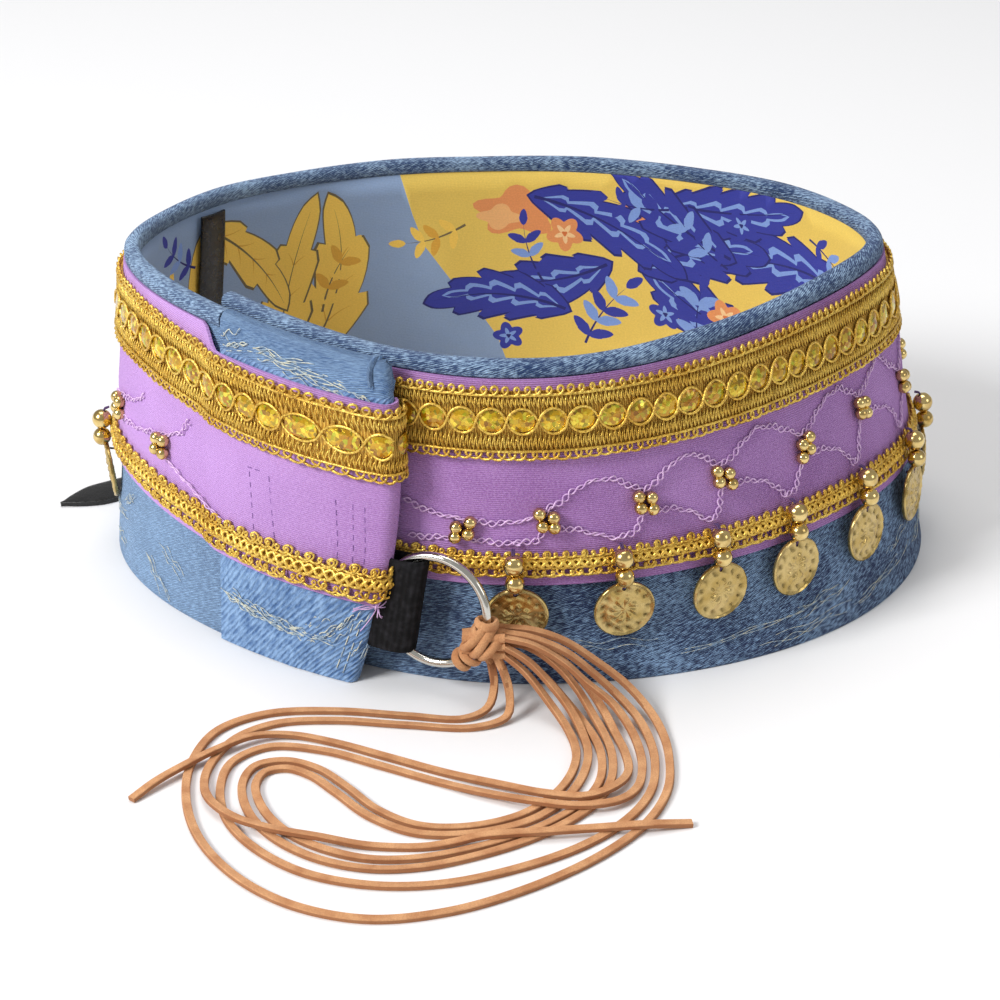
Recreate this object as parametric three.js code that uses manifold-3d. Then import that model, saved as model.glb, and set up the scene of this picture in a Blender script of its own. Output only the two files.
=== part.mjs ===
// Coin belt: a stiff denim band, lined and bound, that closes in a ring with one end lapped over
// the other. It carries a cotton panel, two metallic braids, hanging coin drops, and a webbing
// loop whose ring is tied with a long suede lace.
// Millimetres and degrees, +Z up. X runs along the front of the belt, -Y is the front.
// "turn" is the angle round the belt: 270 is the middle of the front, 360 the right side,
// 450 the middle of the back, 540 the left side. "out" is the distance outwards from the
// denim's outer face.

import * as THREE from 'three';
import { mergeVertices } from 'three/addons/utils/BufferGeometryUtils.js';
import Module from 'manifold-3d';

const wasm = await Module();
wasm.setup();

// ---- driving dimensions ----

const HEIGHT = 98;
const MID_HEIGHT = 60;
const SEAM_GAP = 0.3;
const PIECE_ORIGIN = { x: 3.078, y: 7.487 };

// Plan of the belt at its top edge and at its hem. "pinch" draws the front in at a quarter.
const RIM = { x: 3.1, y: 8, halfWidth: 113, back: 73, front: 99, pinchLeft: 0.5, pinchRight: 0.5 };
const HEM = { x: 8.6, y: 3, halfWidth: 127.4, back: 90, front: 102, pinchLeft: 0.27, pinchRight: 0 };

// The band starts under the flap, goes once round, and laps over its own start.
const BAND = { from: 223, to: 609.2, endSlant: 5, slantFrom: 597, step: 6 };
const LAP = { from: 515, to: 580, lift: 9 };

const DENIM = { inner: -2.4, outer: 0, top: 93 };
const LINING = { inner: -3.5, outer: -2.7, bottom: 2, to: 581.5 };
const BINDING = { bottom: 93.3, to: 588 };
const FACING = { from: 588.6, inner: 0.3, outer: 1.7, top: 98.3 };
const PANEL = { bottom: 32, top: 93, topOnFlap: 86.8, inner: 0.3, outer: 1.3 };
const BRAID = { inner: 1.7, outer: 3 };
const UPPER_BRAID = { centre: 81, height: 22 };
const LOWER_BRAID = { centre: 39, height: 9.4, heightOnFlap: 13 };

// On the flap the trims lie over the facing, and lower down.
const FLAP_TRIM = { from: 584.4, to: 588.4, raise: 1.7, sagFrom: 560, sagTo: 600, sag: 5.5 };

const COIN = { count: 18, firstTurn: 268.9, pitch: 32.2, diameter: 18, thickness: 1.2, lean: 12 };
// The drops at the front were tied by eye, so their distances vary.
const FRONT_PITCHES = [30.4, 29.2, 26.2, 30.6, 33.2, 33.4];
const DROP = { hangHeight: 43.6, hookOut: 4.4, threadRadius: 0.7 };
const UPPER_BEAD = { radius: 3.1, down: 3.4, out: 6.4 };
const LOWER_BEAD = { radius: 2.85, down: 9.2, out: 6.2 };
const COIN_CENTRE = { down: 20, out: 3 };

const RING = { x: -18.3, y: -101.6, z: 26.4, radius: 16, wire: 1.35, yaw: 24, tilt: 6 };
const WEBBING = { from: 12.4, to: 40.8, thickness: 1.3, turn: 258.9, lean: [-3.6, -0.6] };
const KNOT = { x: -5.4, y: -107.4, z: 20, width: 11.6, depth: 10, height: 12, corner: 3, bevel: 2 };
const LACE = { width: 2.3, thickness: 1.4, step: 6.9 };

const INNER_STRAP = { turn: 509, width: 7.2, inner: -5.2, outer: -3.8, bottom: 3, top: 92 };
const TONGUE = { width: 13, thickness: 2.2, tipX: -144, tipY: 13, point: 14 };
const TONGUE_ROOT = { turn: 160.5, half: 4, gap: 0.8 };

// ---- materials ----

const cloth = (color, roughness = 0.9) => new THREE.MeshStandardMaterial({ color, roughness, metalness: 0 });
const metal = (color, roughness) => new THREE.MeshStandardMaterial({ color, roughness, metalness: 1 });

const denim = cloth(0x56789f);
const cotton = cloth(0xae86cb);
const print = cloth(0xd9b14a);
const goldBraid = metal(0xc79a3a, 0.45);
const gold = metal(0xb8923f, 0.3);
const steel = metal(0xd0d0cc, 0.15);
const blackWebbing = cloth(0x17181b, 0.6);
const suede = cloth(0xb9804f);

const belt = new THREE.Group();

function addPiece(name, geometry, material) {
  const mesh = new THREE.Mesh(geometry, material);
  mesh.name = name;
  belt.add(mesh);
}

// ---- the wall that every cloth piece follows ----

function planPoint(plan, turn) {
  const angle = THREE.MathUtils.degToRad(turn);
  const reach = Math.sin(angle);
  const pinch = Math.cos(angle) < 0 ? plan.pinchLeft : plan.pinchRight;
  const drawnIn = 1 - pinch * Math.cos(angle) ** 2;
  const depth = reach >= 0 ? plan.back * reach : plan.front * reach * drawnIn;
  return new THREE.Vector2(plan.x + plan.halfWidth * Math.cos(angle), plan.y + depth);
}

function wallPlan(turn, height) {
  return planPoint(HEM, turn).lerp(planPoint(RIM, turn), height / HEIGHT);
}

function outwards(turn, height) {
  const along = wallPlan(turn + 0.1, height).sub(wallPlan(turn - 0.1, height)).normalize();
  return new THREE.Vector2(along.y, -along.x);
}

function wallPoint(turn, height, out) {
  const point = wallPlan(turn, height).addScaledVector(outwards(turn, height), out);
  return new THREE.Vector3(point.x, point.y, height);
}

const ease = (value, from, to) => THREE.MathUtils.smoothstep(value, from, to);
const lapLift = (turn) => LAP.lift * ease(turn, LAP.from, LAP.to);

// A point of the band itself, which lifts over its own start and ends on a slant.
function bandPoint(turn, height, out) {
  const slant = BAND.endSlant * (height / HEIGHT) * ease(turn, BAND.slantFrom, BAND.to);
  return wallPoint(turn + slant, height, out + lapLift(turn));
}

// ---- closed solids through rings of points ----

function signedVolume(positions, index) {
  const [a, b, c] = [new THREE.Vector3(), new THREE.Vector3(), new THREE.Vector3()];
  let volume = 0;
  for (let i = 0; i < index.length; i += 3) {
    a.fromArray(positions, index[i] * 3);
    b.fromArray(positions, index[i + 1] * 3);
    c.fromArray(positions, index[i + 2] * 3);
    volume += a.dot(b.cross(c));
  }
  return volume;
}

// Rings of equal length, skinned one to the next, with both ends closed by the flat profile.
// Each face splits from its lower corner to its upper one, so that facing layers match.
function loft(rings, profile) {
  const count = rings[0].length;
  const positions = rings.flat().flatMap((point) => point.toArray());
  let index = [];
  for (let ring = 0; ring + 1 < rings.length; ring += 1) {
    for (let i = 0; i < count; i += 1) {
      const next = (i + 1) % count;
      const [a, b] = [ring * count + i, ring * count + next];
      if (profile[next][0] >= profile[i][0]) {
        index.push(a, b, b + count, a, b + count, a + count);
      } else {
        index.push(a, b, a + count, b, b + count, a + count);
      }
    }
  }
  const last = (rings.length - 1) * count;
  const flat = profile.map(([x, y]) => new THREE.Vector2(x, y));
  const clockwise = THREE.ShapeUtils.isClockWise(flat);
  for (const [a, b, c] of THREE.ShapeUtils.triangulateShape(flat, [])) {
    if (clockwise) {
      index.push(a, b, c, last + a, last + c, last + b);
    } else {
      index.push(a, c, b, last + a, last + b, last + c);
    }
  }
  if (signedVolume(positions, index) < 0) {
    index = index.reverse();
  }
  const geometry = new THREE.BufferGeometry();
  geometry.setAttribute('position', new THREE.Float32BufferAttribute(positions, 3));
  geometry.setIndex(index);
  return geometry;
}

// The turns at which a piece has a ring: the band's own stations, and the piece's two ends.
function stations(from, to) {
  const turns = [from];
  for (let turn = BAND.from; turn < to - 0.8; turn += BAND.step) {
    if (turn > from + 0.8) {
      turns.push(turn);
    }
  }
  for (const turn of [FLAP_TRIM.from, FLAP_TRIM.to]) {
    if (turn > from + 0.8 && turn < to - 0.8) {
      turns.push(turn);
    }
  }
  turns.push(to);
  return turns.sort((a, b) => a - b);
}

// A piece of the band: its profile, as [height, out] pairs, is asked for at each station.
function bandPiece(from, to, profileAt) {
  const rings = stations(from, to).map((turn) => (
    profileAt(turn).map(([height, out]) => bandPoint(turn, height, out))
  ));
  return loft(rings, profileAt(from));
}

// A flat layer with rows of points at the heights given, lowest first.
const layer = (heights, inner, outer) => [
  ...heights.map((height) => [height, outer]),
  ...[...heights].reverse().map((height) => [height, inner]),
];

const trimRaise = (turn) => FLAP_TRIM.raise * ease(turn, FLAP_TRIM.from, FLAP_TRIM.to);
const trimSag = (turn) => FLAP_TRIM.sag * ease(turn, FLAP_TRIM.sagFrom, FLAP_TRIM.sagTo);
const panelBottom = (turn) => PANEL.bottom - trimSag(turn);

// ---- band, lining, binding and facing ----

addPiece('denim_band', bandPiece(BAND.from, BAND.to, (turn) => (
  layer([0, panelBottom(turn), MID_HEIGHT, DENIM.top], DENIM.inner, DENIM.outer)
)), denim);

addPiece('lining', bandPiece(BAND.from, LINING.to, (turn) => (
  layer([LINING.bottom, panelBottom(turn), MID_HEIGHT, DENIM.top], LINING.inner, LINING.outer)
)), print);

// The binding is a folded strip, so its section is a soft roll.
const bindingProfile = [
  [BINDING.bottom, -3.4], [BINDING.bottom, 0.6], [BINDING.bottom + 2, 1.5], [HEIGHT - 2, 1.6],
  [HEIGHT, 0.1], [HEIGHT, -2.6], [HEIGHT - 2, -4.2], [BINDING.bottom + 2, -4.2],
];
addPiece('rim_binding', bandPiece(BAND.from, BINDING.to, () => bindingProfile), denim);

// The facing covers the outside of the flap and folds over its top edge.
addPiece('end_facing', bandPiece(FACING.from, BAND.to, (turn) => [
  [0, FACING.outer], [panelBottom(turn), FACING.outer], [MID_HEIGHT, FACING.outer],
  [DENIM.top, FACING.outer],
  [FACING.top - 1, FACING.outer - 0.6], [FACING.top, -0.6], [FACING.top - 0.6, -2.8], [HEIGHT - 3, -4],
  [BINDING.bottom + 0.4, -3.6], [BINDING.bottom, FACING.inner], [MID_HEIGHT, FACING.inner],
  [panelBottom(turn), FACING.inner], [0, FACING.inner],
]), denim);

// ---- cotton panel and braids ----

addPiece('cotton_panel', bandPiece(BAND.from, BAND.to, (turn) => {
  const top = THREE.MathUtils.lerp(PANEL.top, PANEL.topOnFlap, ease(turn, FLAP_TRIM.from, FLAP_TRIM.to));
  const raise = trimRaise(turn);
  return layer([panelBottom(turn), MID_HEIGHT, top], PANEL.inner + raise, PANEL.outer + raise);
}), cotton);

function braid(name, centre, heightAt) {
  addPiece(name, bandPiece(BAND.from, BAND.to, (turn) => {
    const middle = centre - trimSag(turn);
    const half = heightAt(turn) / 2;
    const raise = trimRaise(turn);
    return layer([middle - half, middle + half], BRAID.inner + raise, BRAID.outer + raise);
  }), goldBraid);
}

braid('sequin_braid', UPPER_BRAID.centre, () => UPPER_BRAID.height);
braid('gimp_braid', LOWER_BRAID.centre, (turn) => {
  const share = ease(turn, FLAP_TRIM.sagFrom, FLAP_TRIM.sagTo);
  return THREE.MathUtils.lerp(LOWER_BRAID.height, LOWER_BRAID.heightOnFlap, share);
});

// ---- coin drops ----

function toManifold(geometry) {
  const clean = geometry.clone();
  clean.deleteAttribute('normal');
  clean.deleteAttribute('uv');
  const merged = mergeVertices(clean, 1e-4);
  return new wasm.Manifold(new wasm.Mesh({
    numProp: 3,
    vertProperties: Float32Array.from(merged.attributes.position.array),
    triVerts: Uint32Array.from(merged.index.array),
  }));
}

function fromManifold(solid) {
  const mesh = solid.getMesh();
  const geometry = new THREE.BufferGeometry();
  geometry.setAttribute('position', new THREE.Float32BufferAttribute(mesh.vertProperties, 3));
  geometry.setIndex(Array.from(mesh.triVerts));
  return geometry;
}

// A short thread between two places of the drop, given as [down, out].
function thread([down0, out0], [down1, out1]) {
  const start = new THREE.Vector3(0, -out0, -down0);
  const along = new THREE.Vector3(0, -out1, -down1).sub(start);
  const geometry = new THREE.CylinderGeometry(DROP.threadRadius, DROP.threadRadius, along.length(), 5);
  const upright = new THREE.Vector3(0, 1, 0);
  geometry.applyQuaternion(new THREE.Quaternion().setFromUnitVectors(upright, along.clone().normalize()));
  geometry.translate(...start.addScaledVector(along, 0.5).toArray());
  return geometry;
}

function bead({ radius, down, out }) {
  return new THREE.SphereGeometry(radius, 7, 5).translate(0, -out, -down);
}

// One drop: two beads and a coin on a thread, in a frame whose Z runs up the wall.
function coinDrop() {
  const coin = new THREE.CylinderGeometry(COIN.diameter / 2, COIN.diameter / 2, COIN.thickness, 16);
  coin.rotateX(THREE.MathUtils.degToRad(COIN.lean));
  coin.translate(0, -COIN_CENTRE.out, -COIN_CENTRE.down);
  const hole = [COIN_CENTRE.down - COIN.diameter / 2 + 2, COIN_CENTRE.out + 1.5];
  const parts = [
    bead(UPPER_BEAD),
    bead(LOWER_BEAD),
    coin,
    thread([-1, DROP.hookOut], [UPPER_BEAD.down, UPPER_BEAD.out]),
    thread([UPPER_BEAD.down, UPPER_BEAD.out], [LOWER_BEAD.down, LOWER_BEAD.out]),
    thread([LOWER_BEAD.down, LOWER_BEAD.out], hole),
  ];
  return fromManifold(parts.map(toManifold).reduce((whole, part) => whole.add(part)));
}

// The turns of the drops, measured off one after the other along the hem.
function dropTurns() {
  const turns = [COIN.firstTurn];
  const stride = 0.05;
  let turn = COIN.firstTurn;
  let run = 0;
  while (turns.length < COIN.count) {
    const pitch = FRONT_PITCHES[turns.length - 1] ?? COIN.pitch;
    const here = planPoint(HEM, turn);
    turn += stride;
    run += planPoint(HEM, turn).distanceTo(here);
    if (run >= pitch) {
      turns.push(turn);
      run -= pitch;
    }
  }
  return turns;
}

function dropFrame(turn) {
  const origin = wallPoint(turn, DROP.hangHeight, lapLift(turn));
  const up = wallPoint(turn, HEIGHT, 0).sub(wallPoint(turn, 0, 0)).normalize();
  const flat = outwards(turn, DROP.hangHeight);
  const out = new THREE.Vector3(flat.x, flat.y, 0);
  out.addScaledVector(up, -out.dot(up)).normalize();
  const along = new THREE.Vector3().crossVectors(out.clone().negate(), up).normalize();
  return new THREE.Matrix4().makeBasis(along, out.clone().negate(), up).setPosition(origin);
}

dropTurns().forEach((turn, number) => {
  const geometry = coinDrop().applyMatrix4(dropFrame(turn));
  addPiece(`coin_drop_${String(number + 1).padStart(2, '0')}`, geometry, gold);
});

// ---- ring, webbing loop and knot ----

function ringFrame() {
  const turned = new THREE.Euler(
    THREE.MathUtils.degToRad(90 - RING.tilt), 0, THREE.MathUtils.degToRad(-RING.yaw), 'ZYX');
  return new THREE.Matrix4().makeRotationFromEuler(turned).setPosition(RING.x, RING.y, RING.z);
}

const ringGeometry = (wire, sides, steps) => (
  new THREE.TorusGeometry(RING.radius, wire, sides, steps).applyMatrix4(ringFrame())
);
addPiece('o_ring', ringGeometry(RING.wire, 8, 32), steel);

// The webbing leaves the lap as two layers and opens round the ring. Each point is the middle
// of the webbing: how far along the wall from its reference turn, and how far out. The loop
// leans, so its lower edge lies further left than its upper one.
const WEBBING_LINE = [
  [-27, 5.65], [-16.5, 5.65], [-14.3, 7.9], [-12.4, 8.9], [-1.6, 9.8], [0.8, 9], [1.8, 7],
  [0.8, 5.1], [-1.6, 4.2], [-12, 3.95], [-27, 3.95],
];

// A flat outline of even thickness round a line of points.
function thicken(line, thickness) {
  const points = line.map(([x, y]) => new THREE.Vector2(x, y));
  const sides = [[], []];
  points.forEach((point, i) => {
    const before = point.clone().sub(points[Math.max(i - 1, 0)]).normalize();
    const after = points[Math.min(i + 1, points.length - 1)].clone().sub(point).normalize();
    const along = before.add(after).normalize();
    const across = new THREE.Vector2(-along.y, along.x);
    sides[0].push(point.clone().addScaledVector(across, thickness / 2));
    sides[1].push(point.clone().addScaledVector(across, -thickness / 2));
  });
  return [...sides[0], ...sides[1].reverse()].map((point) => [point.x, point.y]);
}

function turnAlong(distance) {
  const perDegree = planPoint(HEM, WEBBING.turn + 0.5).distanceTo(planPoint(HEM, WEBBING.turn - 0.5));
  return WEBBING.turn + distance / perDegree;
}

const webbingOutline = thicken(WEBBING_LINE, WEBBING.thickness);
const webbingRings = [WEBBING.from, WEBBING.to].map((height, i) => (
  webbingOutline.map(([distance, out]) => wallPoint(turnAlong(distance + WEBBING.lean[i]), height, out))
));
addPiece('webbing_loop', loft(webbingRings, webbingOutline), blackWebbing);

function roundedBlock({ width, height, depth, corner, bevel }) {
  const [x, z] = [width / 2 - bevel, height / 2 - bevel];
  const shape = new THREE.Shape();
  shape.moveTo(-x + corner, -z);
  shape.lineTo(x - corner, -z);
  shape.quadraticCurveTo(x, -z, x, -z + corner);
  shape.lineTo(x, z - corner);
  shape.quadraticCurveTo(x, z, x - corner, z);
  shape.lineTo(-x + corner, z);
  shape.quadraticCurveTo(-x, z, -x, z - corner);
  shape.lineTo(-x, -z + corner);
  shape.quadraticCurveTo(-x, -z, -x + corner, -z);
  const geometry = new THREE.ExtrudeGeometry(shape, {
    depth: depth - 2 * bevel, curveSegments: 2, bevelThickness: bevel, bevelSize: bevel, bevelSegments: 1,
  });
  return geometry.translate(0, 0, bevel - depth / 2).rotateX(Math.PI / 2);
}

const knotBlock = roundedBlock(KNOT).translate(KNOT.x, KNOT.y, KNOT.z);
const knotSolid = toManifold(knotBlock).subtract(toManifold(ringGeometry(RING.wire + SEAM_GAP, 8, 32)));
addPiece('lace_knot', fromManifold(knotSolid), suede);

// ---- black strap: inside the belt, and its pointed end outside ----

const strapFrom = INNER_STRAP.turn - INNER_STRAP.width / 2;
const strapProfile = layer([INNER_STRAP.bottom, INNER_STRAP.top], INNER_STRAP.inner, INNER_STRAP.outer);
const strapTo = strapFrom + INNER_STRAP.width;
addPiece('inner_strap', bandPiece(strapFrom, strapTo, () => strapProfile), blackWebbing);

function tongue() {
  const tip = new THREE.Vector2(TONGUE.tipX, TONGUE.tipY);
  const root = [-1, 0, 1].map((side) => {
    const turn = TONGUE_ROOT.turn + side * TONGUE_ROOT.half;
    const point = wallPoint(turn, TONGUE.thickness, TONGUE_ROOT.gap);
    return new THREE.Vector2(point.x, point.y);
  });
  const along = tip.clone().sub(root[1]).normalize();
  const across = new THREE.Vector2(-along.y, along.x);
  const neck = tip.clone().addScaledVector(along, -TONGUE.point);
  const half = TONGUE.width / 2;
  const outline = [
    neck.clone().addScaledVector(across, -half), tip, neck.clone().addScaledVector(across, half),
    ...root.reverse(),
  ];
  const shape = new THREE.Shape(outline);
  return new THREE.ExtrudeGeometry(shape, { depth: TONGUE.thickness, bevelEnabled: false });
}
addPiece('strap_tongue', tongue(), blackWebbing);

// ---- suede lace, tied in the knot: four loops and two free ends ----

const LACE_ROUTES = {
  lace_outer_loop: [
    [1.2, -104.6, 22.3], [9, -104.9, 21.7], [18, -105.5, 18.6], [27, -107.2, 13], [35, -110, 7.6],
    [41, -115.5, 3.2], [44.8, -125, 1], [46, -139, 0.8], [44.5, -154, 0.8], [38, -169, 0.8],
    [25, -184, 0.8], [6, -198, 0.8], [-13, -207, 0.8], [-32, -210, 0.8], [-50, -205, 0.8],
    [-65, -194, 0.8], [-77, -177, 0.8], [-83, -158, 0.8], [-83.5, -140, 0.8], [-78, -124, 0.8],
    [-65, -115.5, 0.8], [-46, -114, 0.8], [-26, -116.5, 0.8], [-10, -118, 0.8], [-3.4, -114.8, 2.4],
    [-1.6, -110.6, 7], [-2.6, -107.4, 13.2],
  ],
  lace_middle_loop: [
    [1.2, -107.5, 22.3], [9, -108.2, 21], [18, -109.3, 17.4], [26, -111.2, 11.6], [33, -114.3, 6],
    [38.3, -120, 2.4], [41.2, -129, 0.8], [42, -141, 0.8], [40, -154.5, 0.8], [33, -167.5, 0.8],
    [20, -180, 0.8], [2, -190, 0.8], [-15, -195.5, 0.8], [-32, -196, 0.8], [-49, -191, 0.8],
    [-62, -181, 0.8], [-71, -168, 0.8], [-74.5, -153, 0.8], [-72.5, -140, 0.8], [-63, -132.5, 0.8],
    [-48, -134.5, 0.8], [-33, -141.5, 0.8], [-17, -149.5, 0.8], [-4, -156, 1.6], [9, -161, 2.4],
    [21, -163, 2.4], [31, -160.5, 2.2], [36.5, -153, 1.1], [38.4, -143, 0.8], [38, -133, 0.8],
    [35.8, -124.2, 2], [31.4, -117.9, 5.6], [24.3, -115, 10.6], [17.5, -112.8, 16], [9, -111.2, 20.6],
    [1.2, -110.4, 22.3],
  ],
  lace_inner_loop: [
    [1.2, -107.5, 19.6], [8, -108.2, 18.2], [15.5, -110.2, 13.6], [21.5, -113.8, 8], [26, -120, 3],
    [29.4, -129, 0.9], [30.6, -139, 0.8], [29.7, -149, 0.8], [26.2, -158, 0.8], [19.2, -167, 0.8],
    [8, -176, 0.8], [-6, -183.5, 0.8], [-20, -188.3, 0.8], [-33, -189, 0.8], [-46, -185, 0.8],
    [-57.5, -176.5, 0.8], [-65.5, -165, 0.8], [-68.8, -151, 0.8], [-66, -142, 0.8], [-58, -139.5, 0.8],
    [-49, -143.5, 0.8], [-41, -152, 0.8], [-32, -163, 0.8], [-21, -170, 0.8], [-8, -170.5, 0.8],
    [5, -165.5, 0.8], [13.6, -157, 0.8], [18.8, -147, 0.8], [20.8, -136, 0.8], [19, -125.4, 1.4],
    [13.6, -117.6, 6], [7, -112.6, 12.6], [1.2, -110.4, 16.9],
  ],
  lace_small_loop: [
    [1.2, -107.5, 16.9], [6.6, -108.6, 14.6], [12.8, -111.4, 10], [19, -116.4, 4.8], [24.2, -123.6, 1.4],
    [26.8, -131, 0.8], [27.7, -139, 0.8], [26.8, -149, 0.8], [23.2, -157.4, 0.8], [16.6, -165.4, 0.8],
    [6.2, -173.6, 0.8], [-7, -180.2, 0.8], [-20.6, -184.4, 0.8], [-33, -184.8, 0.8], [-44.6, -180.8, 0.8],
    [-54.8, -173.4, 0.8], [-62, -163, 0.8], [-65.2, -151.4, 0.8], [-63.2, -145, 0.8], [-57.6, -143.2, 0.8],
    [-51, -146.6, 0.8], [-43.6, -154.8, 0.8], [-34, -166, 0.8], [-21.8, -173.4, 0.8], [-7.2, -173.7, 0.8],
    [7, -168.4, 0.8], [16.4, -159.2, 0.8], [21.8, -148.2, 0.8], [24, -136.6, 0.8], [23, -127.4, 1.2],
    [19.6, -120, 4.8], [14.6, -115.6, 9.8], [8, -112.2, 15.8], [1.2, -110.4, 19.6],
  ],
  lace_right_end: [
    [0.6, -110.8, 13.2], [2.6, -114.2, 7], [2, -118.8, 2.2], [-7, -122.6, 0.8], [-26, -121.3, 0.8],
    [-46, -119, 0.8], [-62, -120.6, 0.8], [-72.5, -128, 0.8], [-78, -140, 0.8], [-79, -151, 1.2],
    [-76, -161, 2.3], [-69, -168.6, 2.4], [-59, -173.6, 2.4], [-47, -177, 2.3], [-34, -179.2, 1],
    [-20, -179.6, 0.8], [-12, -178.4, 1.4], [-5, -176.8, 2.3], [3, -175.7, 2.4], [14, -174.6, 2.4],
    [26, -173.2, 2.4],
    [38, -171.6, 2.3], [50, -169, 0.8],
  ],
  lace_left_end: [
    [1.2, -104.6, 19.6], [9, -105.4, 18.4], [17, -107.8, 14], [23.5, -111.4, 8.8], [28.4, -117.4, 4],
    [32, -126.5, 1], [34.2, -136, 0.8], [34.4, -146, 1.4], [30.5, -154, 2.4], [23, -158.6, 2.4],
    [12, -157.4, 2.4], [0, -152.4, 1.8], [-15, -145.2, 0.8], [-31, -137.4, 0.8], [-46, -130.2, 0.8],
    [-58, -127, 1.2], [-68, -129.4, 2.3], [-77, -136, 2.4], [-85, -144, 2.4], [-92, -151.5, 2],
    [-97.5, -158, 0.8],
  ],
};

// The lace is flat, so its section stays upright along the path and does not twist.
class LacePath extends THREE.CatmullRomCurve3 {
  computeFrenetFrames(segments) {
    const frames = { tangents: [], normals: [], binormals: [] };
    for (let i = 0; i <= segments; i += 1) {
      const tangent = this.getTangentAt(i / segments);
      const normal = new THREE.Vector3(0, 0, 1).addScaledVector(tangent, -tangent.z).normalize();
      frames.tangents.push(tangent);
      frames.normals.push(normal);
      frames.binormals.push(new THREE.Vector3().crossVectors(tangent, normal));
    }
    return frames;
  }
}

function lace(points) {
  const path = new LacePath(points.map((point) => new THREE.Vector3(...point)), false, 'centripetal');
  const [rise, half] = [LACE.thickness / 2, LACE.width / 2];
  const section = new THREE.Shape([
    new THREE.Vector2(rise, half * 0.7), new THREE.Vector2(rise * 0.6, half),
    new THREE.Vector2(-rise * 0.6, half), new THREE.Vector2(-rise, half * 0.7),
    new THREE.Vector2(-rise, -half * 0.7), new THREE.Vector2(-rise * 0.6, -half),
    new THREE.Vector2(rise * 0.6, -half), new THREE.Vector2(rise, -half * 0.7),
  ]);
  const steps = Math.round(path.getLength() / LACE.step);
  return new THREE.ExtrudeGeometry(section, { steps, extrudePath: path, bevelEnabled: false });
}

for (const [name, points] of Object.entries(LACE_ROUTES)) {
  addPiece(name, lace(points), suede);
}

belt.position.set(PIECE_ORIGIN.x, PIECE_ORIGIN.y, 0);

export default belt;
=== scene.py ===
import bisect
import math
import random

import bmesh
import bpy
import numpy as np
from mathutils import Matrix, Vector
from mathutils.geometry import delaunay_2d_cdt


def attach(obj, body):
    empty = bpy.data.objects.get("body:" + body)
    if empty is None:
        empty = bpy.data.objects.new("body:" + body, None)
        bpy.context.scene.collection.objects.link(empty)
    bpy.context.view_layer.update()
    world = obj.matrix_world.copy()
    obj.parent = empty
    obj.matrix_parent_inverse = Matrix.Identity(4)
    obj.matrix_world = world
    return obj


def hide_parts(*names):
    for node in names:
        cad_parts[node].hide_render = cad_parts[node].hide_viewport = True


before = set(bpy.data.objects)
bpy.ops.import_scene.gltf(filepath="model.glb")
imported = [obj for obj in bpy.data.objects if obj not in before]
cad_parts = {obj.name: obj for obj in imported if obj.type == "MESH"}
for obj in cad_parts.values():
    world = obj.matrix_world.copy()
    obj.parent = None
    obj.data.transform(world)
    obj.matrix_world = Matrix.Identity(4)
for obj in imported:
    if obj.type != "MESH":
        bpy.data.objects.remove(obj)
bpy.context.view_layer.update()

# ---- Camera ----
# The belt is seen from the front and a little above, 0.8 m away, through a long lens,
# so its far rim shows over the near one.
camera_place = (0.00308, -0.68003, 0.3595)
camera_pitch = 63
bpy.ops.object.select_all(action="DESELECT")
bpy.ops.object.camera_add(location=camera_place, rotation=(math.radians(camera_pitch), 0, 0))
camera = bpy.context.object
camera.data.lens = 86.4
camera.data.sensor_width = 36
camera.data.clip_start = 0.05
bpy.context.scene.camera = camera

# ---- Suede lace ----
# One long flat suede lace, 2.3 mm wide and 1.4 mm thick, doubled over and knotted on the
# ring. Four loops and the two free ends lie on the surface in front of the belt.
piece_shift = Vector((3.078, 7.487, 0))
lace_width = 2.3
lace_thickness = 1.4
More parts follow.
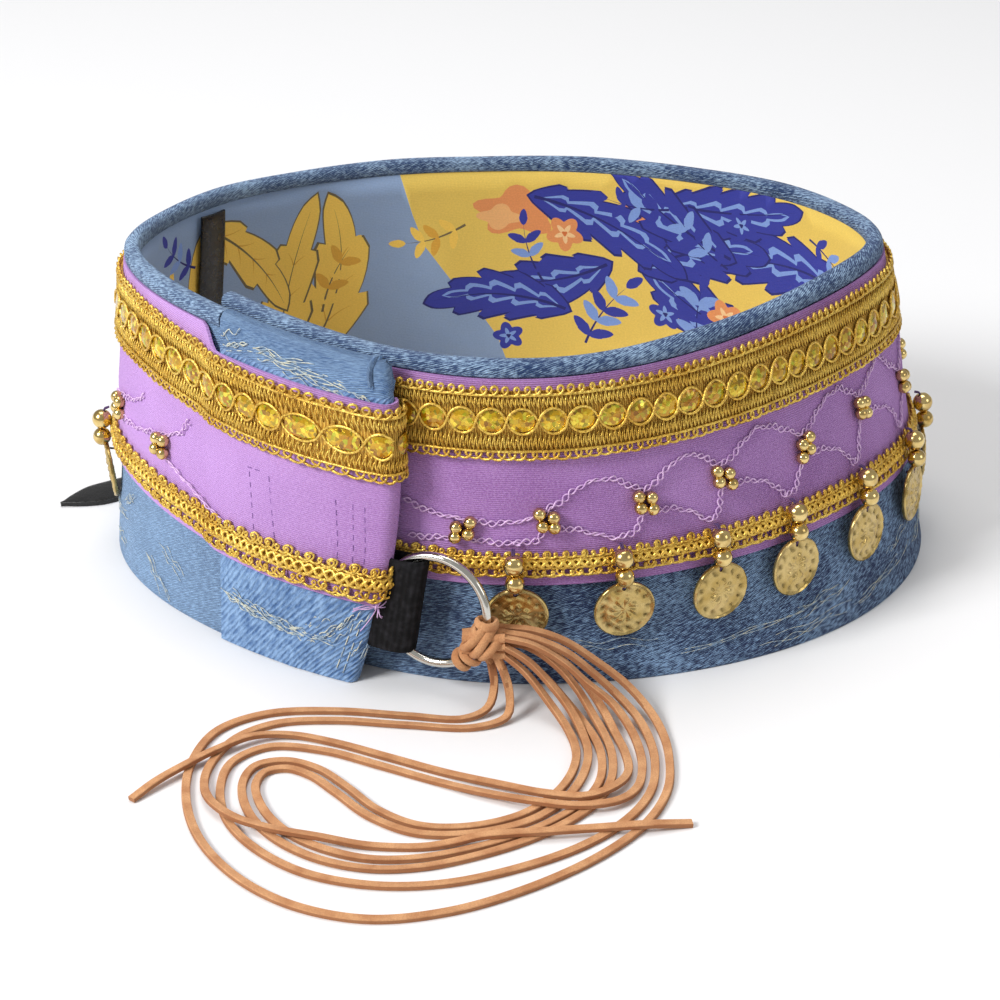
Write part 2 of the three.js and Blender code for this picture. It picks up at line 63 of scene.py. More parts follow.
# A route's point without a height lies at this one, in mm: the lace rests on the floor.
rest_height = 0.8
lace_routes = {
    "lace_outer_loop": (0.394, "object", [
        (1.2, -104.6, 22.3), (9, -104.9, 21.7), (18, -105.5, 18.6), (27, -107.2, 13), (35, -110, 7.6),
        (41, -115.5, 3.2), (44.8, -125, 1), (46, -139), (44.5, -154), (38, -169),
        (25, -184), (6, -198), (-13, -207), (-32, -210), (-50, -205),
        (-65, -194), (-77, -177), (-83, -158), (-83.5, -140), (-78, -124),
        (-65, -115.5), (-46, -114), (-26, -116.5), (-10, -118), (-3.4, -114.8, 2.4),
        (-1.6, -110.6, 7), (-2.6, -107.4, 13.2)]),
    "lace_middle_loop": (0.446, "object", [
        (1.2, -107.5, 22.3), (9, -108.2, 21), (18, -109.3, 17.4), (26, -111.2, 11.6), (33, -114.3, 6),
        (38.3, -120, 2.4), (41.2, -129), (42, -141), (40, -154.5), (33, -167.5),
        (20, -180), (2, -190), (-15, -195.5), (-32, -196), (-49, -191),
        (-62, -181), (-71, -168), (-74.5, -153), (-72.5, -140), (-63, -132.5),
        (-48, -134.5), (-33, -141.5), (-17, -149.5), (-4, -156, 1.6), (9, -161, 2.4),
        (21, -163, 2.4), (31, -160.5, 2.2), (36.5, -153, 1.1), (38.4, -143), (38, -133),
        (35.8, -124.2, 2), (31.4, -117.9, 5.6), (24.3, -115, 10.6), (17.5, -112.8, 16), (9, -111.2, 20.6),
        (1.2, -110.4, 22.3)]),
    "lace_inner_loop": (0.369, "object", [
        (1.2, -107.5, 19.6), (8, -108.2, 18.2), (15.5, -110.2, 13.6), (21.5, -113.8, 8), (26, -120, 3),
        (29.4, -129, 0.9), (30.6, -139), (29.7, -149), (26.2, -158), (19.2, -167),
        (8, -176), (-6, -183.5), (-20, -188.3), (-33, -189), (-46, -185),
        (-57.5, -176.5), (-65.5, -165), (-68.8, -151), (-66, -142), (-58, -139.5),
        (-49, -143.5), (-41, -152), (-32, -163), (-21, -170), (-8, -170.5),
        (5, -165.5), (13.6, -157), (18.8, -147), (20.8, -136), (19, -125.4, 1.4),
        (13.6, -117.6, 6), (7, -112.6, 12.6), (1.2, -110.4, 16.9)]),
    "lace_small_loop": (0.356, "object", [
        (1.2, -107.5, 16.9), (6.6, -108.6, 14.6), (12.8, -111.4, 10), (19, -116.4, 4.8), (24.2, -123.6, 1.4),
        (26.8, -131), (27.7, -139), (26.8, -149), (23.2, -157.4), (16.6, -165.4),
        (6.2, -173.6), (-7, -180.2), (-20.6, -184.4), (-33, -184.8), (-44.6, -180.8),
        (-54.8, -173.4), (-62, -163), (-65.2, -151.4), (-63.2, -145), (-57.6, -143.2),
        (-51, -146.6), (-43.6, -154.8), (-34, -166), (-21.8, -173.4), (-7.2, -173.7),
        (7, -168.4), (16.4, -159.2), (21.8, -148.2), (24, -136.6), (23, -127.4, 1.2),
        (19.6, -120, 4.8), (14.6, -115.6, 9.8), (8, -112.2, 15.8), (1.2, -110.4, 19.6)]),
    "lace_right_end": (0.260, "bare", [
        (0.6, -110.8, 13.2), (2.6, -114.2, 7), (2, -118.8, 2.2), (-7, -122.6), (-26, -121.3),
        (-46, -119), (-62, -120.6), (-72.5, -128), (-78, -140), (-79, -151, 1.2),
        (-76, -161, 2.3), (-69, -168.6, 2.4), (-59, -173.6, 2.4), (-47, -177, 2.3), (-34, -179.2, 1),
        (-20, -179.6), (-12, -178.4, 1.4), (-5, -176.8, 2.3), (3, -175.7, 2.4), (14, -174.6, 2.4),
        (26, -173.2, 2.4),
        (38, -171.6, 2.3), (50, -169)]),
    "lace_left_end": (0.223, "bare", [
        (1.2, -104.6, 19.6), (9, -105.4, 18.4), (17, -107.8, 14), (23.5, -111.4, 8.8), (28.4, -117.4, 4),
        (32, -126.5, 1), (34.2, -136), (34.4, -146, 1.4), (30.5, -154, 2.4), (23, -158.6, 2.4),
        (12, -157.4, 2.4), (0, -152.4, 1.8), (-15, -145.2), (-31, -137.4), (-46, -130.2),
        (-58, -127, 1.2), (-68, -129.4, 2.3), (-77, -136, 2.4), (-85, -144, 2.4), (-92, -151.5, 2),
        (-97.5, -158)]),
}


def linear(red, green, blue):
    """A colour given in 0 to 255, as the shader wants it."""
    def channel(value):
        value /= 255
        return value / 12.92 if value <= 0.04045 else ((value + 0.055) / 1.055) ** 2.4
    return (channel(red), channel(green), channel(blue), 1)


def add_node(tree, kind, links=None, **settings):
    """A shader node with its settings, and its inputs set or linked by name or number."""
    made = tree.nodes.new(kind)
    for name, value in settings.items():
        setattr(made, name, value)
    for name, value in (links or {}).items():
        if isinstance(value, bpy.types.NodeSocket):
            tree.links.new(value, made.inputs[name])
        else:
            made.inputs[name].default_value = value
    return made


def coordinates(tree, kind="Object"):
    """The object's own coordinates, or its flat map, for a finish to follow."""
    return add_node(tree, "ShaderNodeTexCoord").outputs[kind]


def noise(tree, where, scale, detail=2.0):
    return add_node(tree, "ShaderNodeTexNoise",
                    {"Vector": where, "Scale": scale, "Detail": detail}).outputs["Fac"]


def emboss(tree, shader, height, strength, distance):
    """Roughens a finish by a height, no deeper than a distance in metres."""
    bump = add_node(tree, "ShaderNodeBump", {"Height": height, "Strength": strength, "Distance": distance})
    tree.links.new(bump.outputs[0], shader.inputs["Normal"])


def new_finish(name, **sockets):
    """A material with only its Principled shader, whose plain sockets are set."""
    finish = bpy.data.materials.new(name)
    finish.use_nodes = True
    shader = finish.node_tree.nodes["Principled BSDF"]
    for socket, value in sockets.items():
        shader.inputs[socket.replace("_", " ")].default_value = value
    return finish, finish.node_tree, shader


def blend_colours(tree, factor, first, second):
    """Mixes two colours, or linked colours, by a mask."""
    mixed = add_node(tree, "ShaderNodeMix", data_type="RGBA")
    for socket, value in ((mixed.inputs[0], factor), (mixed.inputs[6], first), (mixed.inputs[7], second)):
        if isinstance(value, bpy.types.NodeSocket):
            tree.links.new(value, socket)
        else:
            socket.default_value = value
    return mixed.outputs[2]


def span(tree, value, low, high, to_low=0.0, to_high=1.0):
    """A value spread from one range to another, held at its ends."""
    return add_node(tree, "ShaderNodeMapRange", {
        "Value": value, "From Min": low, "From Max": high, "To Min": to_low, "To Max": to_high}).outputs[0]


def smooth_route(points, step):
    """Points a step apart along one smooth curve through the route's points, in metres."""
    points = [Vector((*point, rest_height)[:3]) + piece_shift for point in points]
    ends = [points[0] * 2 - points[1]] + points + [points[-1] * 2 - points[-2]]
    made = []
    for before, start, end, after in zip(ends, ends[1:], ends[2:], ends[3:]):
        gaps = [math.sqrt((b - a).length) for a, b in ((before, start), (start, end), (end, after))]
        leave = ((start - before) / gaps[0] - (end - before) / (gaps[0] + gaps[1]) + (end - start)
                 / gaps[1]) * gaps[1]
        reach = ((end - start) / gaps[1] - (after - start) / (gaps[1] + gaps[2]) + (after - end)
                 / gaps[2]) * gaps[1]
        count = max(round((end - start).length / step), 1)
        for i in range(count):
            t = i / count
            made.append(((2 * t**3 - 3 * t**2 + 1) * start + (t**3 - 2 * t**2 + t) * leave
                         + (3 * t**2 - 2 * t**3) * end + (t**3 - t**2) * reach) * 0.001)
    return made + [points[-1] * 0.001]


def thread_piece(name, runs, radius, sides=4, profile=None, leans=()):
    """Threads or cords as one mesh. Each run is its points in metres; the section is round or a profile."""
    lines = bpy.data.curves.new(name, "CURVE")
    lines.dimensions = "3D"
    lines.use_fill_caps = True
    lines.twist_mode = "Z_UP" if profile else "MINIMUM"
    if profile:
        lines.bevel_mode = "OBJECT"
        lines.bevel_object = profile
    else:
        lines.bevel_depth = radius
        lines.bevel_resolution = (sides - 4) // 2
    for run in runs:
        spline = lines.splines.new("POLY")
        spline.points.add(len(run) - 1)
        spline.points.foreach_set("co", [value for point in run for value in (*point, 1)])
        if leans:
            spline.points.foreach_set("tilt", leans)
    piece = bpy.data.objects.new(name, lines)
    bpy.context.collection.objects.link(piece)
    bpy.ops.object.select_all(action="DESELECT")
    bpy.context.view_layer.objects.active = piece
    piece.select_set(True)
    bpy.ops.object.convert(target="MESH")
    bpy.ops.object.shade_smooth()
    return bpy.context.object


def finish_piece(piece, finish, body="belt", replaces=()):
    """Gives a piece its material and the body it moves with, and hides the parts it stands for."""
    if finish:
        piece.data.materials.clear()
        piece.data.materials.append(finish)
    if replaces:
        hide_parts(*replaces)
    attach(piece, body)


suede, tree, shader = new_finish("tan_suede", Roughness=0.95, Sheen_Weight=0.3, Sheen_Roughness=0.6)
shader.inputs["Sheen Tint"].default_value = linear(235, 190, 150)
place = coordinates(tree)
patches = noise(tree, place, 160.0, 4.0)
nap = noise(tree, place, 2600.0, 4.0)
# The lace's upright sides are coloured a darker tan: painted shade on its sides.
painted_side_shade = add_node(tree, "ShaderNodeAttribute", attribute_name="painted_side_shade").outputs["Fac"]
tan = blend_colours(tree, span(tree, patches, 0.35, 0.65), linear(180, 124, 80), linear(214, 162, 114))
tan = blend_colours(tree, painted_side_shade, tan, linear(138, 82, 46))
tan = blend_colours(tree, span(tree, nap, 0.35, 0.65, 0.0, 0.4), tan, linear(150, 94, 60))
tree.links.new(tan, shader.inputs["Base Color"])
emboss(tree, shader, nap, 0.6, 0.0004)

# The lace's section: flat, with its cut edges a little rounded.
bpy.ops.object.select_all(action="DESELECT")
bpy.ops.curve.primitive_bezier_circle_add(radius=1)
lace_section = bpy.context.object
lace_section.data.splines.clear()
section_line = lace_section.data.splines.new("POLY")
half, rise = lace_width / 2000, lace_thickness / 2000
corners = [(-half, -rise * 0.7), (-half * 0.86, -rise), (half * 0.86, -rise), (half, -rise * 0.7),
           (half, rise * 0.7), (half * 0.86, rise), (0, rise * 0.94), (-half * 0.86, rise),
           (-half, rise * 0.7)]
section_line.points.add(len(corners) - 1)
section_line.points.foreach_set("co", [value for x, y in corners for value in (x, y, 0, 1)])
section_line.use_cyclic_u = True

for number, (name, (length, far_end, route)) in enumerate(lace_routes.items()):
    line = smooth_route(route, 1.5)
    # The lace turns a little about its own length as it lies.
    lean = [0.12 * math.sin(i * 0.045 + number * 1.7) + 0.05 * math.sin(i * 0.13 + number)
            for i in range(len(line))]
    lace = thread_piece(name + "_suede", [line], 0, profile=lace_section, leans=lean)
    bpy.ops.object.shade_smooth_by_angle(angle=math.radians(35))
    # Faces that stand upright, the lace's sides, are marked for the painted shade.
    shade = lace.data.attributes.new("painted_side_shade", "FLOAT", "FACE")
    shade.data.foreach_set("value", [0.75 if abs(face.normal.z) < 0.5 else 0.0
                                     for face in lace.data.polygons])
    finish_piece(lace, suede, replaces=[name])
bpy.data.objects.remove(lace_section)

# ---- Denim band ----
# A stiff, interlined strip of washed denim, 93 mm high under the binding. It closes in a
# ring and its left end laps over its right end. All other pieces are made on it.
band_height = 98
band_start, band_end = 223, 609.2
rim_plan = (3.1, 8, 113, 73, 99, 0.5, 0.5)
hem_plan = (8.6, 3, 127.4, 90, 102, 0.27, 0)
denim_top = 93
# The band's end slants from here on, and the cloth rolls back round it about this depth.
slant_start = 597
roll_middle, roll_rate, tightest_roll, roll_end = -0.6, 2.2, 1.2, 2.6
# The left end rises over the right one between these turns.
lap_rise, lap_start, lap_full = 9, 515, 580
# One degree of turn is about this many mm along the band.
degree_run = 2.1


def smooth(value, low, high):
    share = min(max((value - low) / (high - low), 0), 1)
    return share * share * (3 - 2 * share)


def plan_point(plan, turn):
    x, y, half_width, back, front, left_pinch, right_pinch = plan
    across, reach = math.cos(math.radians(turn)), math.sin(math.radians(turn))
    pinch = left_pinch if across < 0 else right_pinch
    depth = back * reach if reach >= 0 else front * reach * (1 - pinch * across**2)
    return Vector((x + half_width * across, y + depth, 0))


def wall_axes(turn, height):
    """Where the denim's outer face is at a turn and height, with the ways along and out, in mm."""
    here, there = (plan_point(hem_plan, a).lerp(plan_point(rim_plan, a), height / band_height)
                   for a in (turn - 0.1, turn + 0.1))
    along = (there - here).normalized()
    return (here + there) / 2 + piece_shift + Vector((0, 0, height)), along, Vector((along.y, -along.x, 0))


def lap_lift(turn):
    return lap_rise * smooth(turn, lap_start, lap_full)


def band_point(turn, height, out):
    """A point on the band, in metres. Past the band's end the cloth rolls back round its edge."""
    past = max(turn - band_end, 0) * roll_rate
    turn = min(turn, band_end)
    # The band's end slants, and it bows forwards between its hem and its rim.
    slant = 5 * height / band_height - 1.4 + 3 * math.sin(math.pi * height / 110)
    turn_here = turn + slant * smooth(turn, slant_start, band_end)
    middle, along, outwards = wall_axes(turn_here, height)
    lift = lap_lift(turn)
    reach = out - roll_middle
    angle = min(past / max(reach, tightest_roll), roll_end)
    return (middle + outwards * (lift + roll_middle + reach * math.cos(angle))
            + along * (reach * math.sin(angle))) * 0.001


lengths = {}


def along_band(height):
    """The length of band from its start to each half degree, in mm, at a height."""
    if height not in lengths:
        turns = [band_start + i / 2 for i in range(int((band_end - band_start) * 2) + 13)]
        run, table, last = 0, [], None
        for turn in turns:
            point = wall_axes(turn, height)[0]
            run += (point - last).length if last else 0
            table.append(run)
            last = point
        lengths[height] = (turns, table)
    return lengths[height]


def turn_at(distance, height):
    """The turn that lies a distance along the band, in mm, at a height."""
    turns, table = along_band(height)
    i = min(max(bisect.bisect_left(table, distance), 1), len(table) - 1)
    return turns[i - 1] + (distance - table[i - 1]) / (table[i] - table[i - 1]) * 0.5


def distance_to(turn, height):
    turns, table = along_band(height)
    i = min(max(int((turn - band_start) * 2), 0), len(table) - 2)
    return table[i] + (turn - turns[i]) * 2 * (table[i + 1] - table[i])


def thicken(sheet, wall, offset=-1, edge=0.0, corner=60):
    """Gives a sheet its wall, in metres, and rounds its edges."""
    bpy.ops.object.modifier_add(type="SOLIDIFY")
    sheet.modifiers[-1].thickness = wall
    sheet.modifiers[-1].offset = offset
    bpy.ops.object.modifier_apply(modifier=sheet.modifiers[-1].name)
    if edge:
        bpy.ops.object.modifier_add(type="BEVEL")
        sheet.modifiers[-1].width = edge
        sheet.modifiers[-1].segments = 2
        sheet.modifiers[-1].angle_limit = math.radians(corner)
        bpy.ops.object.modifier_apply(modifier=sheet.modifiers[-1].name)


def wrap_cloth(name, first, last, columns, rows, form, wall, edge=0.4, girth=None):
    """A flat grid wrapped on the band as cloth. form gives the height and out for a turn and a
    share of the way up, and the cloth's wall goes inwards from there."""
    bpy.ops.object.select_all(action="DESELECT")
    bpy.ops.mesh.primitive_grid_add(x_subdivisions=columns, y_subdivisions=rows, size=1)
    cloth = bpy.context.object
    cloth.name = name
    mesh = cloth.data
    uses = [[] for _ in mesh.vertices]
    for loop in mesh.loops:
        uses[loop.vertex_index].append(loop.index)
    flat = mesh.uv_layers.active.data
    for vertex in mesh.vertices:
        turn = first + (last - first) * (vertex.co.x + 0.5)
        share = vertex.co.y + 0.5
        height, out = form(turn, share)
        for loop in uses[vertex.index]:
            flat[loop].uv = (distance_to(turn, 50) * 0.001,
                             share * (girth or form(turn, 1)[0] - form(turn, 0)[0]) * 0.001)
        vertex.co = band_point(turn, height, out)
    thicken(cloth, wall * 0.001, edge=edge * 0.001, corner=50)
    bpy.ops.object.shade_smooth_by_angle(angle=math.radians(50))
    return cloth


def creased(creases, turn, height):
    """How far soft creases push the cloth out. Each has its turn, height, the way it runs in
    degrees, and its length, breadth and depth in mm."""
    shift = 0
    for middle, level, way, length, breadth, depth in creases:
        away = (turn - middle) * 2
        if abs(away) > length:
            continue
        up = height - level
        run = away * math.cos(math.radians(way)) + up * math.sin(math.radians(way))
        side = up * math.cos(math.radians(way)) - away * math.sin(math.radians(way))
        shift += depth * math.exp(-(side / breadth)**2 - (run / (length / 2))**2)
    return shift


def weave_group(name, angle, line, slub):
    """A cloth's weave on its own flat map: yarn lines that run at an angle, with slubs. It puts
    out a mask of light yarns and a height."""
    group = bpy.data.node_groups.new(name, "ShaderNodeTree")
    group.interface.new_socket("Fade", in_out="INPUT", socket_type="NodeSocketFloat").default_value = 0.5
    for socket in ("Light", "Height"):
        group.interface.new_socket(socket, in_out="OUTPUT", socket_type="NodeSocketFloat")
    ends = add_node(group, "NodeGroupInput")
    flat = coordinates(group, "UV")
    turned = add_node(group, "ShaderNodeMapping",
                      {"Vector": flat, "Rotation": (0, 0, math.radians(angle))}).outputs[0]
    lines = add_node(group, "ShaderNodeTexWave", {
        "Vector": turned, "Scale": 0.314 / line, "Distortion": 1.6, "Detail": 2.0,
        "Detail Scale": 3.0}).outputs["Fac"]
    stretched = add_node(group, "ShaderNodeMapping", {"Vector": turned, "Scale": (1.0, slub, 1.0)}).outputs[0]
    yarn = add_node(group, "ShaderNodeTexNoise", {
        "Vector": stretched, "Scale": 1.1 / line, "Detail": 3.0, "Roughness": 0.65}).outputs["Fac"]
    fade = noise(group, flat, 60.0, 4.0)
    light = add_node(group, "ShaderNodeMath", {0: lines, 1: 0.30, 2: 0.0}, operation="MULTIPLY_ADD")
    group.links.new(span(group, yarn, 0.38, 0.66, 0.0, 0.75), light.inputs[2])
    faded = add_node(group, "ShaderNodeMath",
                     {0: span(group, fade, 0.3, 0.7, -0.4, 0.4), 1: ends.outputs["Fade"]},
                     operation="MULTIPLY")
    sum_light = add_node(group, "ShaderNodeMath", {0: light.outputs[0], 1: faded.outputs[0]}, operation="ADD",
                         use_clamp=True)
    height = add_node(group, "ShaderNodeMath", {0: lines, 1: yarn}, operation="ADD")
    out = add_node(group, "NodeGroupOutput")
    group.links.new(sum_light.outputs[0], out.inputs["Light"])
    group.links.new(height.outputs[0], out.inputs["Height"])
    return group


twill = weave_group("twill_weave", 74, 0.0005, 0.2)
coarse_twill = weave_group("coarse_twill", 62, 0.0008, 0.28)


def denim_finish(name, deep, pale, cloth=twill, depth=0.00035, dark=0.0, wash_and_light=0.15):
    """Washed denim: indigo warp with white weft that shows through in specks."""
    finish, tree, shader = new_finish(name, Roughness=0.92, Sheen_Weight=0.08, Sheen_Roughness=0.5)
    weave = add_node(tree, "ShaderNodeGroup", node_tree=cloth)
    weave.inputs["Fade"].default_value = 0.5
    blue = blend_colours(tree, span(tree, weave.outputs["Light"], dark, 0.85), deep, pale)
    # It is paler towards its left end: partly a paler wash, and partly painted light where the key light
    # falls from the left.
    across = add_node(tree, "ShaderNodeSeparateXYZ", {"Vector": coordinates(tree)}).outputs["X"]
    blue = blend_colours(tree, span(tree, across, 0.0, -0.1, 0.0, wash_and_light), blue, pale)
    tree.links.new(blue, shader.inputs["Base Color"])
    emboss(tree, shader, weave.outputs["Height"], 0.8, depth)
    return finish


indigo_denim = denim_finish("indigo_denim", linear(14, 40, 84), linear(142, 176, 214), twill, 0.0004, 0.3,
                            0.62)
pale_denim = denim_finish("pale_denim", linear(48, 86, 136), linear(132, 164, 202), coarse_twill)
band_creases = [(566, 14, 4, 34, 5, 0.5), (540, 9, -3, 40, 6, 0.5), (480, 18, 5, 50, 7, 0.6),
                (424, 12, -4, 44, 6, 0.5),
                (384, 16, 6, 40, 6, 0.5), (318, 9, 2, 46, 5, 0.45), (296, 20, -3, 36, 5, 0.4),
                (352, 14, 8, 36, 6, 0.5)]
band = wrap_cloth("denim_band_cloth", band_start, band_end, 300, 16,
                  lambda turn, share: (denim_top * share, creased(band_creases, turn, denim_top * share)
                                       - 0.3), 2.1, 0.7)
finish_piece(band, indigo_denim, replaces=["denim_band"])

# Pale yarns that have worked loose from the denim, in short runs along it and a few across.
# Each run: its first turn, height, length in mm, rise in mm, and how many yarns lie in it.
loose_runs = [
    (546, 14, 34, 2, 4), (554, 9, 20, -1, 3), (560, 21, 12, 3, 4), (571, 12, 16, -8, 4), (574, 17, 14, -5, 3),
    (292, 8, 46, 3, 3), (303, 4, 40, 2, 3), (311, 9, 26, 3, 4), (322, 6, 44, 4, 3), (331, 12, 26, 4, 2),
    (342, 8, 30, 2, 3),
    (276, 12, 24, -1, 2), (354, 12, 34, -2, 3), (372, 7, 40, 2, 3), (392, 14, 36, 1, 3), (410, 8, 42, -2, 3),
    (428, 18, 30, 3, 3), (446, 9, 44, 1, 3), (466, 14, 36, -3, 3), (486, 8, 40, 2, 3), (504, 16, 30, 2, 3),
    (522, 9, 36, -2, 3)]
yarns = random.Random(11)


def loose_yarns(runs, out, rise_out=0.35):
    made = []
    for turn, height, length, rise, count in runs:
        for _ in range(count):
            start = turn + yarns.uniform(-2, 2)
            level = height + yarns.uniform(-1.6, 1.6)
            reach = length * yarns.uniform(0.5, 1)
            wave, phase = yarns.uniform(0.3, 0.9), yarns.uniform(0, 6)
            made.append([band_point(start + reach * t / 14 / degree_run,
                                    max(level + rise * t / 14 + wave * math.sin(phase + t * 0.7), 0.6),
                                    out + rise_out * (0.6 + 0.4 * math.sin(phase + t * 1.3)))
                         for t in range(15)])
    return made


yarn_finish, tree, shader = new_finish("pale_yarn", Roughness=0.9)
fleck = noise(tree, coordinates(tree), 600.0)
tree.links.new(blend_colours(tree, span(tree, fleck, 0.4, 0.6), linear(140, 160, 178), linear(206, 206, 188)),
               shader.inputs["Base Color"])
band_yarns = thread_piece("band_loose_yarns", loose_yarns(loose_runs, 0.0), 0.0001)
finish_piece(band_yarns, yarn_finish)

# ---- Printed lining ----
# A smooth printed cotton lining, cut in a grey-blue and a yellow part, that covers the whole
# inside of the band. Its leaves and sprigs are printed, so they lie in the cloth's own face.
lining_low, lining_high = 2, 93
lining_end = 581.5
lining_length = distance_to(lining_end, 50)


def leaf_shape(x, y, way, length, breadth, bend, lobes, teeth=0.35):
    """The outline of a curved leaf with toothed sides, and its midrib, on the flat cloth in mm."""
    count = 6 * lobes
    rib, angle = [Vector((x, y))], math.radians(way)
    for i in range(count):
        rib.append(rib[-1] + Vector((math.cos(angle), math.sin(angle))) * length / count)
        angle += math.radians(bend) / count
    sides = ([], [])
    for i in range(1, count):
        t = i / count
        along = (rib[i + 1] - rib[i - 1]).normalized()
        across = Vector((-along.y, along.x))
        half = breadth / 2 * math.sin(math.pi * t**0.8)**0.75
        tooth = (t * lobes) % 1
        reach = half * (1 - teeth * (1 - min(tooth / 0.72, 1)) - teeth * max(tooth - 0.72, 0) / 0.28)
        for side, sign in zip(sides, (1, -1)):
            side.append(rib[i] + across * sign * reach + along * tooth * half * 0.45)
    return [rib[0]] + sides[0] + [rib[-1]] + sides[1][::-1], rib


def vein_shape(rib, low, high, thick):
    """A thin tapering line along a leaf's midrib."""
    part = rib[int(low * (len(rib) - 1)):int(high * (len(rib) - 1)) + 1]
    upper, lower = [], []
    for i in range(1, len(part)):
        along = (part[i] - part[i - 1]).normalized()
        across = Vector((-along.y, along.x)) * thick * (1 - i / len(part)) / 2
        upper.append(part[i] + across)
        lower.append(part[i] - across)
    return upper + lower[::-1]


gold_leaf, gold_line, gold_deep = (250, 208, 92), (112, 100, 72), (226, 170, 62)
blue_leaf, blue_line, blue_pale = (48, 56, 160), (30, 34, 112), (128, 160, 226)
peach, peach_line = (232, 150, 92), (220, 118, 60)
yellow_ground, grey_ground = (236, 202, 96), (144, 168, 204)

# The big leaves: distance along the cloth, height, way, length, breadth, bend, lobes, and colours.
big_leaves = [
    # right and back, on the yellow ground
    (292, 62, 196, 58, 26, 34, 5, "blue"), (300, 66, 12, 64, 24, -30, 5, "blue"),
    (330, 34, 158, 60, 26, 46, 5, "blue"),
    (338, 30, 20, 58, 22, 30, 5, "blue"), (262, 30, 168, 50, 22, -36, 4, "blue"),
    (250, 74, 200, 44, 18, 20, 4, "blue"),
    (386, 58, 150, 52, 24, 34, 5, "blue"), (396, 60, 330, 46, 20, 40, 4, "blue"),
    (226, 40, 190, 44, 20, 30, 4, "blue"),
    (180, 66, 186, 52, 22, -24, 5, "blue"), (188, 30, 14, 46, 20, 24, 4, "blue"),
    (132, 52, 168, 52, 24, 30, 5, "blue"),
    (90, 30, 150, 44, 20, -30, 4, "blue"), (60, 66, 200, 50, 20, 30, 5, "blue"),
    (20, 34, 40, 44, 20, -30, 4, "blue"),
    # back left and left, on the grey-blue ground
    (514, 22, 140, 74, 25, -74, 4, "gold"), (518, 12, 90, 80, 22, 26, 4, "gold"),
    (527, 6, 46, 88, 25, 62, 4, "gold"),
    (548, 86, 206, 52, 17, 44, 3, "gold"), (566, 4, 40, 62, 20, 60, 3, "gold"),
    (604, 58, 196, 48, 19, -40, 3, "gold"),
    (424, 84, 192, 62, 20, 30, 5, "blue"), (376, 84, 186, 58, 20, -26, 5, "blue"),
    (350, 66, 20, 54, 20, 34, 5, "blue"),
    (412, 40, 24, 52, 20, -40, 5, "blue"),
    (612, 24, 120, 56, 24, 40, 5, "gold"), (650, 60, 210, 50, 20, 40, 4, "gold"),
    (664, 26, 60, 44, 20, 40, 4, "gold")]
# Small sprigs: distance, height, way, size in mm, number of leaf pairs, and colours.
sprigs = [
    (312, 46, 100, 22, 3, "blue"), (352, 62, 30, 26, 4, "blue"), (366, 24, 80, 30, 4, "blue"),
    (276, 50, 60, 24, 3, "blue"),
    (408, 26, 110, 30, 4, "blue"), (420, 50, 60, 24, 3, "blue"), (318, 82, 200, 22, 3, "blue"),
    (372, 82, 350, 24, 3, "blue"),
    (240, 54, 90, 24, 3, "blue"), (214, 70, 20, 24, 3, "blue"), (204, 22, 60, 26, 4, "blue"),
    (160, 30, 80, 24, 3, "blue"),
    (148, 78, 340, 24, 3, "blue"), (110, 66, 20, 26, 4, "blue"), (70, 40, 60, 24, 3, "blue"),
    (34, 62, 20, 24, 3, "blue"),
    (446, 74, 330, 24, 3, "gold"), (500, 44, 100, 26, 4, "gold"), (560, 46, 60, 26, 4, "gold"),
    (574, 26, 80, 24, 3, "blue"),
    (600, 44, 40, 24, 3, "gold"), (632, 44, 100, 26, 3, "gold"), (680, 50, 80, 22, 3, "blue"),
    (552, 74, 20, 22, 3, "blue")]
# Flowers with five petals: distance, height, size and colours.
flowers = [
    (324, 60, 9, "blue"), (356, 44, 11, "peach"), (346, 80, 9, "blue"), (304, 26, 10, "peach"),
    (378, 42, 10, "blue"),
    (412, 70, 11, "peach"), (434, 30, 9, "blue"), (392, 18, 11, "peach"), (282, 78, 10, "peach"),
    (268, 60, 8, "blue"),
    (232, 24, 10, "peach"), (196, 50, 9, "blue"), (168, 48, 10, "peach"), (120, 20, 9, "blue"),
    (98, 50, 10, "peach"),
    (48, 24, 9, "blue"), (16, 74, 10, "peach"), (562, 60, 8, "peach"), (604, 70, 8, "gold"),
    (690, 76, 9, "peach")]
# Peach clouds behind the leaves on the yellow ground: distance, height, width and height in mm.
clouds = [(428, 78, 34, 20), (352, 30, 54, 22), (300, 46, 34, 18), (388, 76, 30, 14), (236, 62, 40, 20),
          (140, 34, 44, 20),
          (66, 52, 36, 18)]
leaf_colours = {"blue": (blue_leaf, blue_line, blue_pale), "gold": (gold_leaf, gold_line, gold_deep),
                "peach": (peach, peach_line, (250, 206, 150))}
printed = []


def cloud_shape(x, y, width, height, lobes, turn=0.0):
    return [Vector((x + math.cos(a) * width / 2 * (0.82 + 0.18 * math.sin(lobes * a + turn)),
                    y + math.sin(a) * height / 2 * (0.82 + 0.18 * math.sin(lobes * a + turn))))
            for a in (i / 40 * math.tau for i in range(40))]


